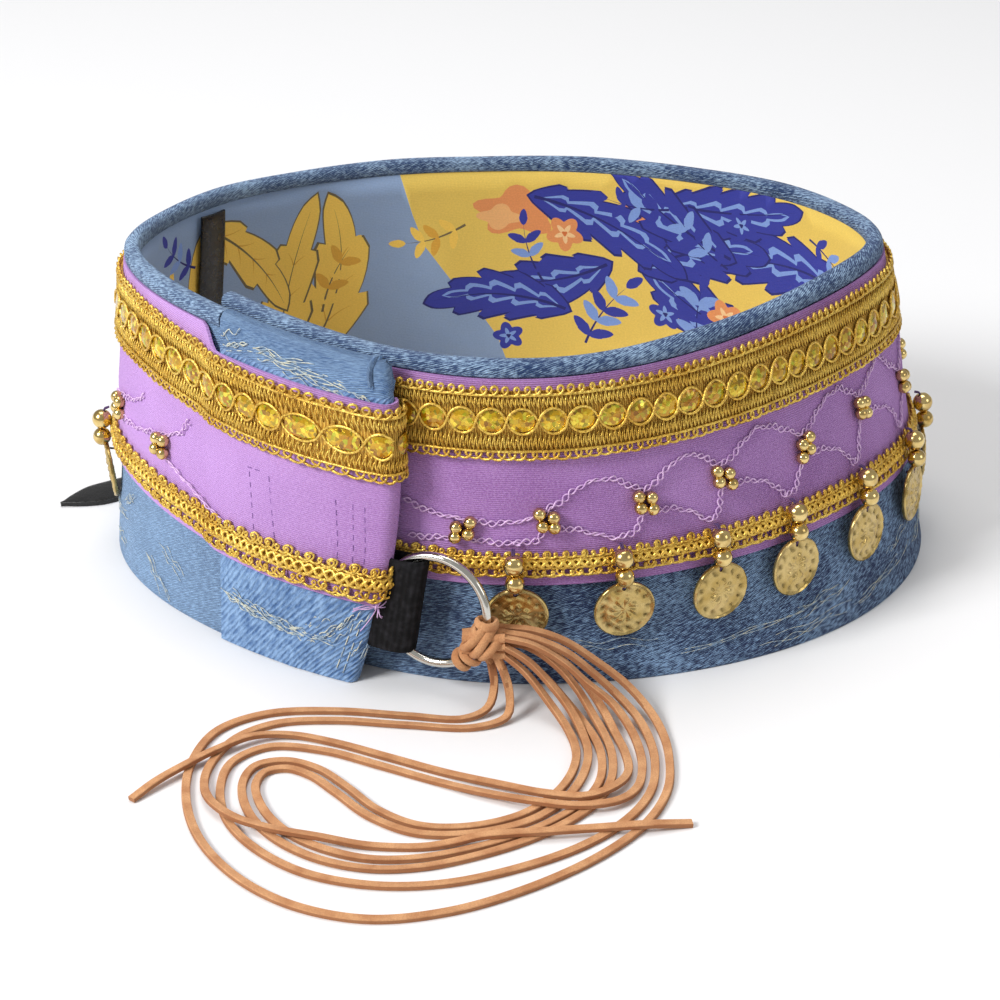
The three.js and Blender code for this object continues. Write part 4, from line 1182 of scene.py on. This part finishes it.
# The coin is darker in its struck hollows, by how deep each point lies in the relief.
hollow_darkening = add_node(tree, "ShaderNodeAttribute", attribute_name="hollow").outputs["Fac"]
coin_gold = blend_colours(tree, span(tree, blotches, 0.35, 0.7), linear(182, 154, 88), linear(216, 192, 132))
coin_gold = blend_colours(tree, span(tree, blotches, 0.62, 0.8, 0.0, 0.5), coin_gold, linear(160, 116, 62))
coin_gold = blend_colours(tree, hollow_darkening, coin_gold, linear(104, 88, 46))
tree.links.new(coin_gold, shader.inputs["Base Color"])
tree.links.new(span(tree, blotches, 0.3, 0.7, 0.16, 0.34), shader.inputs["Roughness"])
emboss(tree, shader, blotches, 0.35, 0.0004)
hollow = coin.data.attributes.new("hollow", "FLOAT", "POINT")
flat_coin = lean.inverted()
for vertex in coin.data.vertices:
    struck = flat_coin @ vertex.co
    hollow.data[vertex.index].value = min(max((0.46 - abs(struck.z)) * 2.2, 0), 0.85)
coin.data.materials.append(olive_gold)

bead_gold, tree, shader = new_finish("bead_gold", Metallic=1.0, Roughness=0.14)
place = coordinates(tree)
wear = noise(tree, place, 260.0, 4.0)
tree.links.new(blend_colours(tree, span(tree, wear, 0.4, 0.75), linear(232, 206, 140), linear(178, 144, 78)),
               shader.inputs["Base Color"])
tree.links.new(span(tree, wear, 0.35, 0.75, 0.1, 0.3), shader.inputs["Roughness"])
dark_thread, tree, shader = new_finish("dark_thread", Roughness=0.85)
spun = noise(tree, coordinates(tree), 1200.0)
tree.links.new(blend_colours(tree, spun, linear(46, 28, 60), linear(96, 66, 118)),
               shader.inputs["Base Color"])


def round_bead(radius, place, steps=20, rings=12):
    """A hollow metal bead: a ball with a small flat collar round its hole at each end."""
    bpy.ops.object.select_all(action="DESELECT")
    bpy.ops.mesh.primitive_uv_sphere_add(segments=steps, ring_count=rings, radius=radius)
    bead = bpy.context.object
    for vertex in bead.data.vertices:
        if abs(vertex.co.z) > radius * 0.93:
            vertex.co.z = math.copysign(radius * 0.93, vertex.co.z)
    bead.data.transform(Matrix.Translation(place))
    bpy.ops.object.shade_smooth_by_angle(angle=math.radians(40))
    return bead


def join_pieces(name, pieces):
    bpy.ops.object.select_all(action="DESELECT")
    for piece in pieces:
        piece.select_set(True)
    bpy.context.view_layer.objects.active = pieces[0]
    bpy.ops.object.join()
    bpy.context.object.name = name
    return bpy.context.object


drop_parts = [coin]
for radius, down, out in ((3.1, 3.4, 6.4), (2.85, 9.2, 6.2)):
    bead = round_bead(radius, (0, -out, -down))
    bead.data.materials.append(bead_gold)
    drop_parts.append(bead)
drop_threads = thread_piece("drop_thread", [
    [(0.25, -4.4, 0.6), (0.3, -5.6, 0.1), (0.1, -6.4, -1.4), (0.1, -6.3, -9), (0.25, -5.6, -11.6),
     (0.25, -4.4, -13), (0.1, -2.2, -13.4)],
    [(-0.3, -4.2, 0.6), (-0.3, -5.5, 0.2), (-0.1, -6.4, -1.4), (-0.1, -6.2, -9), (-0.3, -5.4, -11.8),
     (-0.3, -4.6, -13.3), (-0.2, -2.2, -13.5)]], 0.3, 6)
drop_threads.data.materials.append(dark_thread)
drop_parts.append(drop_threads)
bpy.ops.object.select_all(action="DESELECT")
coin.select_set(True)
bpy.context.view_layer.objects.active = coin
bpy.ops.object.shade_smooth_by_angle(angle=math.radians(40))
drop = join_pieces("coin_drop_pattern", drop_parts)
for number, turn in enumerate(drop_turns(), 1):
    name = f"coin_drop_{number:02d}"
    axes, origin = drop_frame(turn)
    copy = drop.copy()
    copy.data = drop.data.copy()
    copy.name = name + "_gold"
    bpy.context.collection.objects.link(copy)
    copy.data.transform(Matrix.Scale(0.001, 4) @ Matrix.Translation(origin) @ axes)
    finish_piece(copy, None, "belt" if number == 1 else name, replaces=[name])
bpy.data.objects.remove(drop)

# ---- Ring ----
# A round nickel-plated wire ring, 35 mm across, in the webbing loop. The wire is drawn in
# a little where it was closed.
ring_middle, ring_radius, ring_wire, ring_yaw, ring_tilt = Vector((-18.3, -101.6, 26.4)), 16, 1.35, 24, 6
bpy.ops.object.select_all(action="DESELECT")
bpy.ops.mesh.primitive_torus_add(major_radius=ring_radius, minor_radius=ring_wire, major_segments=128,
                                 minor_segments=20)
ring = bpy.context.object
ring.name = "ring_wire"
for vertex in ring.data.vertices:
    around = math.degrees(math.atan2(vertex.co.y, vertex.co.x))
    away = Vector((vertex.co.x, vertex.co.y, 0)).normalized() * ring_radius
    seam = math.exp(-((abs(around) - 172) / 1.6)**2)
    vertex.co = away + (vertex.co - away) * (1 - 0.07 * seam)
ring_turn = (Matrix.Rotation(math.radians(-ring_yaw), 4, "Z")
             @ Matrix.Rotation(math.radians(90 - ring_tilt), 4, "X"))
ring.data.transform(Matrix.Scale(0.001, 4) @ Matrix.Translation(ring_middle + piece_shift) @ ring_turn)
bpy.ops.object.shade_smooth()
nickel, tree, shader = new_finish("nickel_plate", Metallic=1.0, Roughness=0.12)
rubbed = noise(tree, coordinates(tree), 300.0, 4.0)
tree.links.new(blend_colours(tree, rubbed, linear(222, 220, 212), linear(196, 192, 182)),
               shader.inputs["Base Color"])
tree.links.new(span(tree, rubbed, 0.35, 0.7, 0.08, 0.22), shader.inputs["Roughness"])
finish_piece(ring, nickel, replaces=["o_ring"])

# ---- Webbing loop ----
# Black woven webbing, 28 mm wide, sewn between the lap's layers. It leaves the flap's end
# doubled, opens round the ring and folds back on itself.
webbing_low, webbing_high, webbing_turn = 12.4, 40.8, 258.9
webbing_shift, webbing_slant = -8, 5.2
webbing_line = [(-27, 5.65), (-16.5, 5.65), (-14.3, 7.9), (-12.4, 8.9), (-1.6, 9.8), (0.8, 9), (1.8, 7),
                (0.8, 5.1),
                (-1.6, 4.2), (-12, 3.95), (-27, 3.95)]
degree_length = (plan_point(hem_plan, webbing_turn + 0.5) - plan_point(hem_plan, webbing_turn - 0.5)).length


def rounded_line(points, cuts):
    """A line through the points with its corners rounded, as pairs."""
    for _ in range(cuts):
        softer = [points[0]]
        for (ax, ay), (bx, by) in zip(points, points[1:]):
            softer += [(ax * 0.75 + bx * 0.25, ay * 0.75 + by * 0.25),
                       (ax * 0.25 + bx * 0.75, ay * 0.25 + by * 0.75)]
        points = softer + [points[-1]]
    return points


soft_line = rounded_line(webbing_line, 2)
bpy.ops.object.select_all(action="DESELECT")
bpy.ops.mesh.primitive_grid_add(x_subdivisions=len(soft_line) - 1, y_subdivisions=14, size=1)
webbing = bpy.context.object
webbing.name = "webbing_cloth"
run = [0]
for (ax, ay), (bx, by) in zip(soft_line, soft_line[1:]):
    run.append(run[-1] + math.hypot(bx - ax, by - ay))
webbing_map = {}
for vertex in webbing.data.vertices:
    i = round((vertex.co.x + 0.5) * (len(soft_line) - 1))
    share = vertex.co.y + 0.5
    height = webbing_low + (webbing_high - webbing_low) * share
    distance, out = soft_line[i]
    distance += webbing_shift + webbing_slant * share
    sway = 0.25 * math.sin(share * 5 + distance * 0.4)
    middle, _, outwards = wall_axes(webbing_turn + distance / degree_length, height)
    webbing_map[vertex.index] = (run[i] * 0.001, height * 0.001)
    vertex.co = (middle + outwards * (out + sway)) * 0.001
for loop in webbing.data.loops:
    webbing.data.uv_layers.active.data[loop.index].uv = webbing_map[loop.vertex_index]
thicken(webbing, 0.0011, offset=0, edge=0.0004)
bpy.ops.object.mode_set(mode="EDIT")
bpy.ops.mesh.select_all(action="SELECT")
bpy.ops.mesh.normals_make_consistent(inside=False)
bpy.ops.object.mode_set(mode="OBJECT")
bpy.ops.object.shade_smooth_by_angle(angle=math.radians(50))
black_webbing, tree, shader = new_finish("black_webbing", Roughness=0.8, Specular_IOR_Level=0.2)
flat = coordinates(tree, "UV")
ribs = add_node(tree, "ShaderNodeTexWave", {"Vector": flat, "Scale": 190.0, "Distortion": 1.5,
                                            "Detail": 2.0}).outputs["Fac"]
worn = noise(tree, flat, 420.0, 5.0)
black = blend_colours(tree, span(tree, worn, 0.45, 0.72), linear(9, 9, 11), linear(34, 33, 37))
black = blend_colours(tree, span(tree, ribs, 0.0, 0.35, 0.35, 0.0), black, linear(6, 6, 8))
tree.links.new(black, shader.inputs["Base Color"])
relief = add_node(tree, "ShaderNodeMath", {0: ribs, 1: worn}, operation="ADD")
emboss(tree, shader, relief.outputs[0], 0.6, 0.0003)
finish_piece(webbing, black_webbing, replaces=["webbing_loop"])

# ---- Lace knot ----
# The doubled lace is hitched on the ring: four turns round the wire, and three slanting
# turns round the bundle of strands that leaves it.
strand_slots = [(-104.6, 22.3), (-107.5, 22.3), (-110.4, 22.3), (-104.6, 19.6), (-107.5, 19.6),
                (-110.4, 19.6),
                (-107.5, 16.9), (-110.4, 16.9)]
bundle_y, bundle_z = -107.5, 19.8
knot_middle = Vector((-5.4, -107.4, 20))


def lace_turn(middle, way, high, deep, wide=1.3, thick=0.72, twist=0.0):
    """One turn of flat lace round a bundle: a closed band whose flat side faces out."""
    bpy.ops.object.select_all(action="DESELECT")
    bpy.ops.mesh.primitive_torus_add(major_radius=6, minor_radius=1, major_segments=40, minor_segments=10)
    turn = bpy.context.object
    for vertex in turn.data.vertices:
        x, y, z = vertex.co
        away = math.hypot(x, y)
        around = math.atan2(y, x)
        across = away - 6
        reach = across * thick * (1.15 - 0.15 * z * z)
        vertex.co = (x / away * (deep + reach), y / away * (high + reach), z * wide + 0.5 * twist
                     * math.sin(around * 2))
    turn.data.transform(Vector(way).to_track_quat("Z", "Y").to_matrix().to_4x4())
    turn.data.transform(Matrix.Translation(Vector(middle) + piece_shift))
    turn.data.transform(Matrix.Scale(0.001, 4))
    bpy.ops.object.shade_smooth()
    return turn


turns = []
bundle_way = Vector((0.8, -0.12, -0.59)).normalized()
for step, high, deep in ((-1, 4.6, 4.8), (0, 5.4, 5.2), (1, 5.2, 5.0)):
    middle = knot_middle + Vector((0.6, 0, 0.2)) - bundle_way * 2.7 * step
    turns.append(lace_turn(middle, bundle_way, high, deep, twist=0.5 * (-1)**step))
for angle, size in ((-2, 2.7), (-14, 3.0), (-44, 3.1), (-56, 2.8)):
    wire = (ring_turn @ Vector((math.cos(math.radians(angle)), math.sin(math.radians(angle)),
                                0))) * ring_radius + ring_middle
    tangent = ring_turn @ Vector((-math.sin(math.radians(angle)), math.cos(math.radians(angle)), 0))
    turns.append(lace_turn(wire, tangent, size, size, twist=0.4))
strands = [[(Vector((x, bundle_y + (y - bundle_y) * squeeze, bundle_z + (z - bundle_z) * squeeze))
             + piece_shift) * 0.001
            for x, squeeze in ((-10.5, 0.6), (-7.5, 0.7), (-4.5, 0.85), (-1.4, 0.96), (1.4, 1))] for y,
           z in strand_slots]
strands += [[(Vector(point) + piece_shift) * 0.001 for point in line] for line in (
    ((-6, -107.4, 18.6), (-4.3, -107.4, 16), (-2.6, -107.4, 12.8)),
    ((-4, -108.6, 19), (-1, -110, 16.4), (0.6, -110.8, 12.8)))]
bundle = thread_piece("lace_bundle", strands, 0.0013, 8)
knot = join_pieces("lace_knot_suede", turns + [bundle])
bpy.ops.object.shade_smooth_by_angle(angle=math.radians(45))
finish_piece(knot, suede, replaces=["lace_knot"])

# ---- Black strap ----
# A narrow glossy strap sewn under the binding at the left, hanging down the inside. Its
# pointed end comes out under the hem and lies on the surface.
strap_turn, strap_width = 511, 7.2
tongue_half, tongue_point = 6.5, 14


def strap_form(turn, share):
    height = 3 + 89 * share
    side = (turn - strap_turn) / strap_width * 2
    return height, -4.1 - 0.9 * (1 - side * side) * smooth(height, 10, 60) - 0.5 * math.sin(height * 0.09)


strap = wrap_cloth("inner_strap_cloth", strap_turn - strap_width / 2, strap_turn + strap_width / 2, 10, 40,
                   strap_form, 1.0, 0.3)
glossy_strap, tree, shader = new_finish("glossy_strap", Roughness=0.28)
flat = coordinates(tree)
grain = noise(tree, flat, 500.0, 4.0)
tree.links.new(blend_colours(tree, grain, linear(3, 3, 4), linear(14, 14, 16)), shader.inputs["Base Color"])
tree.links.new(span(tree, grain, 0.35, 0.7, 0.2, 0.42), shader.inputs["Roughness"])
emboss(tree, shader, grain, 0.3, 0.0004)
finish_piece(strap, glossy_strap, replaces=["inner_strap"])

tip = Vector((-144, 13, 0)) + piece_shift
root = wall_axes(160.5, 2.2)[0] + wall_axes(160.5, 2.2)[2] * 0.8
tongue_way = (Vector((tip.x, tip.y, 0)) - Vector((root.x, root.y, 0)))
tongue_across = Vector((-tongue_way.y, tongue_way.x, 0)).normalized()
root_half = (wall_axes(164.5, 2.2)[0] - wall_axes(156.5, 2.2)[0]).length / 2
bpy.ops.object.select_all(action="DESELECT")
bpy.ops.mesh.primitive_grid_add(x_subdivisions=24, y_subdivisions=8, size=1)
tongue = bpy.context.object
tongue.name = "strap_tongue_cloth"
for vertex in tongue.data.vertices:
    share, side = vertex.co.x + 0.5, vertex.co.y * 2
    neck = 1 - tongue_point / tongue_way.length
    half = root_half + (tongue_half - root_half) * min(share / neck, 1)
    if share > neck:
        half *= max(1 - ((share - neck) / (1 - neck))**1.5, 0.08)
    crown = 0.5 * (1 - side * side) * (1 - 0.6 * share)
    vertex.co = (Vector((root.x, root.y, 0)) + tongue_way * share + tongue_across * side * half
                 + Vector((0, 0, 1.55 + crown))) * 0.001
thicken(tongue, 0.0015, edge=0.0004)
bpy.ops.object.shade_smooth_by_angle(angle=math.radians(45))
finish_piece(tongue, glossy_strap, replaces=["strap_tongue"])

# ---- Crocheted net ----
# A lilac crocheted chain in two waves round the panel. The lower one runs from coin to coin,
# the upper one up to the braid, and four small beads join them between the coins.

# Each cluster's height, and its share of the way from one coin to the next.
cluster_heights = [52.2, 54.5, 56.7, 56.9, 59.3, 56.5, 55.6, 57.2, 54.8, 56.4, 55.2, 57, 54.6, 55.8, 54.2,
                   52.4, 50.8]
cluster_shares = [0.33, 0.3, 0.18, 0.3, 0.23, 0.3] + [0.32] * 11
net_turns = drop_turns()
net_out = 1.9
# Shares along from one cluster to the next: the lower wave dips to the coin, the upper one rises.
lower_wave = [(0.0, -3.2), (0.14, -2.8), (0.3, -3.6), (0.46, -5.4), (0.59, -8.4)]
lower_rise = [(0.45, 45.8), (0.7, -7), (0.88, -4.2), (1.0, -3.2)]
upper_wave = [(0.0, 3.1), (0.12, 4.6), (0.26, 7.6), (0.42, 10.2), (0.48, 10.4), (0.66, 8.6), (0.86, 5.6),
              (1.0, 3.1)]


def chain_stitch(line, pitch=2.5, swing=0.6):
    """Two thin threads that cross over and over along a line of (turn, height, out) points."""
    places = [band_point(*point) for point in line]
    run = [0]
    for a, b in zip(places, places[1:]):
        run.append(run[-1] + (b - a).length * 1000)
    count = max(int(run[-1] / (pitch / 8)), 2)
    pair = ([], [])
    for i in range(count + 1):
        distance = run[-1] * i / count
        j = min(bisect.bisect_right(run, distance), len(run) - 1)
        share = (distance - run[j - 1]) / max(run[j] - run[j - 1], 1e-6)
        turn, height, out = (a + (b - a) * share for a, b in zip(line[j - 1], line[j]))
        angle = distance / pitch * math.pi
        way = (line[j][1] - line[j - 1][1], (line[j][0] - line[j - 1][0]) * degree_run)
        size = math.hypot(*way) or 1
        for strand, sign in zip(pair, (1, -1)):
            swell, drift = 1 + 0.45 * math.sin(distance * 0.31), 0.25 * math.sin(distance * 0.9)
            off = sign * swing * math.sin(angle) * swell + drift
            strand.append(band_point(turn - off * way[0] / size / degree_run, height + off * way[1] / size,
                                     out + sign * 0.22 * math.cos(angle)))
    return list(pair)


net_lines, clusters = [], []
for share, top, left, right in zip(cluster_shares, cluster_heights, net_turns, net_turns[1:]):
    clusters.append((left + share * (right - left), top))
for k, (turn, top) in enumerate(clusters):
    coin_turn = net_turns[k]
    rise = [(coin_turn, 45.2, net_out + 0.5)]
    for share, level in lower_rise:
        height = level if level > 0 else max(top + level, 46)
        rise.append((coin_turn + (turn - coin_turn) * share, height, net_out))
    net_lines += chain_stitch([(a, height, out + trim_raise(a)) for a, height, out in rise])
    after = net_turns[k + 1]
    dip = [(turn + (after - turn) * share / 0.66, max(top + level, 45.6), net_out) for share,
           level in lower_wave]
    net_lines += chain_stitch([(a, height, out + trim_raise(a)) for a, height, out in dip
                               + [(after, 45.2, net_out + 0.5)]])
    if k + 1 < len(clusters):
        next_turn, next_top = clusters[k + 1]
        upper = [(turn + (next_turn - turn) * share, (top if share < 0.5 else next_top) + above, net_out)
                 for share, above in upper_wave]
        net_lines += chain_stitch(upper)
# At the front the chains start under the flap, with one more cluster beside it.
clusters += [(262.4, 48.9), (557.6, 51.4), (575.4, 50.6)]
# On the left flap they end in a loop up to the braid and one long thread down to the gimp.
# Each chain: its points by turn, height and how far they stand off the others.
end_chains = [
    [(254.5, 55.5, 0), (258, 53, 0), (262.4, 51.6, 0), (267, 51, 0), (271, 52.2, 0), (274.6, 55.2, 0)],
    [(255, 44.6, 0), (258.5, 45.4, 0), (262.4, 46, 0), (266, 45.4, 0), (269.8, 45.2, 0.5)],
    [(542.9, 45.2, 0.5), (547, 49, 0), (552, 52.6, 0), (557.6, 54.4, 0), (563, 56.4, 0), (567, 58.6, 0),
     (569, 61.5, 0)],
    [(543.6, 46, 0), (549, 47.2, 0), (557.6, 48.2, 0), (566, 49.4, 0), (575.4, 53.4, 0), (580, 57, 0),
     (582, 62, 0)],
    [(540.4, 52, 0), (541.6, 60, 0), (544, 67.6, 0)]]
for line in end_chains:
    net_lines += chain_stitch([(turn, height, net_out + out) for turn, height, out in line])
net_lines += chain_stitch([(turn, height, net_out + out) for turn, height, out in (
    (575.4, 48, 0), (579, 45.4, 0.4), (583, 43, 0.8), (588, 39.6, 1.9), (592.4, 37.2, 2))], 3.4, 0.3)
net = thread_piece("crochet_net", net_lines, 0.00024)
lilac_thread, tree, shader = new_finish("lilac_thread", Roughness=0.8, Sheen_Weight=0.3)
spun = noise(tree, coordinates(tree), 700.0, 3.0)
tree.links.new(blend_colours(tree, span(tree, spun, 0.35, 0.65), linear(190, 146, 202),
                             linear(228, 194, 232)),
               shader.inputs["Base Color"])
finish_piece(net, lilac_thread)

# Each cluster is four hollow beads sewn in a square.
tilt = random.Random(8)
bead = round_bead(1.92, (0, 0, 0), 14, 8)
bead_shape = [tuple(vertex.co) for vertex in bead.data.vertices]
bead_faces = [tuple(face.vertices) for face in bead.data.polygons]
cluster_mesh = bmesh.new()
for turn, height in clusters:
    skew = tilt.uniform(-0.5, 0.5)
    for along, up in ((-1.8, -1.75), (1.8, -1.75), (-1.8, 1.75), (1.8, 1.75)):
        slide, rise = tilt.uniform(-0.3, 0.3), tilt.uniform(-0.3, 0.3)
        middle, way, outwards = wall_axes(turn + (along + slide + up * skew * 0.4) / degree_run, height + up
                                          + rise + along * skew)
        middle = middle + outwards * (lap_lift(turn) + net_out + 1.3 + trim_raise(turn))
        turned = Matrix.Rotation(tilt.uniform(0, 3), 4, "Y") @ Matrix.Rotation(tilt.uniform(0, 3), 4, "X")
        placed = [cluster_mesh.verts.new((middle + turned @ Vector(point)) * 0.001) for point in bead_shape]
        for corners in bead_faces:
            cluster_mesh.faces.new([placed[i] for i in corners])
cluster_mesh.to_mesh(bead.data)
cluster_mesh.free()
bead.name = "bead_clusters"
bpy.ops.object.shade_smooth_by_angle(angle=math.radians(40))
finish_piece(bead, bead_gold)
ties = []
for turn, height in clusters:
    for a, b in (((-2.4, -2.6), (2.4, 2.6)), ((-2.4, 2.6), (2.4, -2.6))):
        ties.append([band_point(turn + (a[0] + (b[0] - a[0]) * t / 4) / degree_run, height + a[1]
                                + (b[1] - a[1]) * t / 4,
                                net_out + 0.3 + trim_raise(turn)) for t in range(5)])
cluster_ties = thread_piece("cluster_threads", ties, 0.0003)
finish_piece(cluster_ties, dark_thread)

# ---- Loose thread ends ----
# Ends of lilac thread hang in a small tangle where the panel is sewn to the flap's end.
# They are about as fine as the sewing, and stand off the cloth a little.
ends = random.Random(3)
tangle = []
for _ in range(13):
    angle, length = ends.uniform(0, math.tau), ends.uniform(3, 8)
    curl = ends.uniform(-0.6, 0.6)
    tangle.append([band_point(band_end + 1.4 + length * t / 8 * math.cos(angle + curl * t / 8) / roll_rate,
                              26 + length * t / 8 * math.sin(angle + curl * t / 8), 3.2 + 1.2
                              * math.sin(t * 0.4 + angle))
                   for t in range(9)])
thread_ends = thread_piece("thread_ends", tangle, 0.00016)
finish_piece(thread_ends, lilac_thread)

# ---- Studio ----
# A plain pale floor, a white room and three soft lights. The strong one stands high at the
# left front, and the other two only soften its shadows.
bpy.ops.object.select_all(action="DESELECT")
bpy.ops.mesh.primitive_plane_add(size=8, location=(0, 0, 0))
floor = bpy.context.object
floor.name = "floor"
floor_finish, tree, shader = new_finish("pale_floor", Roughness=0.6)
shader.inputs["Base Color"].default_value = linear(232, 232, 233)
floor.data.materials.append(floor_finish)
room = bpy.context.scene.world or bpy.data.worlds.new("room")
bpy.context.scene.world = room
room.use_nodes = True
room.node_tree.nodes["Background"].inputs["Color"].default_value = (1, 1, 1, 1)
room.node_tree.nodes["Background"].inputs["Strength"].default_value = 0.4
for name, place, aim, size, power in (
        ("key_light", (-2.0, -1.3, 1.85), (0, 0, 0.03), 1.0, 84),
        ("top_light", (-0.1, 0.3, 1.4), (0, 0.05, 0), 0.9, 9),
        ("side_light", (1.3, -0.7, 0.8), (0, 0, 0.05), 0.6, 2.5)):
    bpy.ops.object.light_add(type="AREA", location=place)
    light = bpy.context.object
    light.name = name
    light.data.size = size
    light.data.energy = power
    light.rotation_euler = (Vector(aim) - Vector(place)).to_track_quat("-Z", "Y").to_euler()
bpy.context.scene.view_settings.view_transform = "Standard"
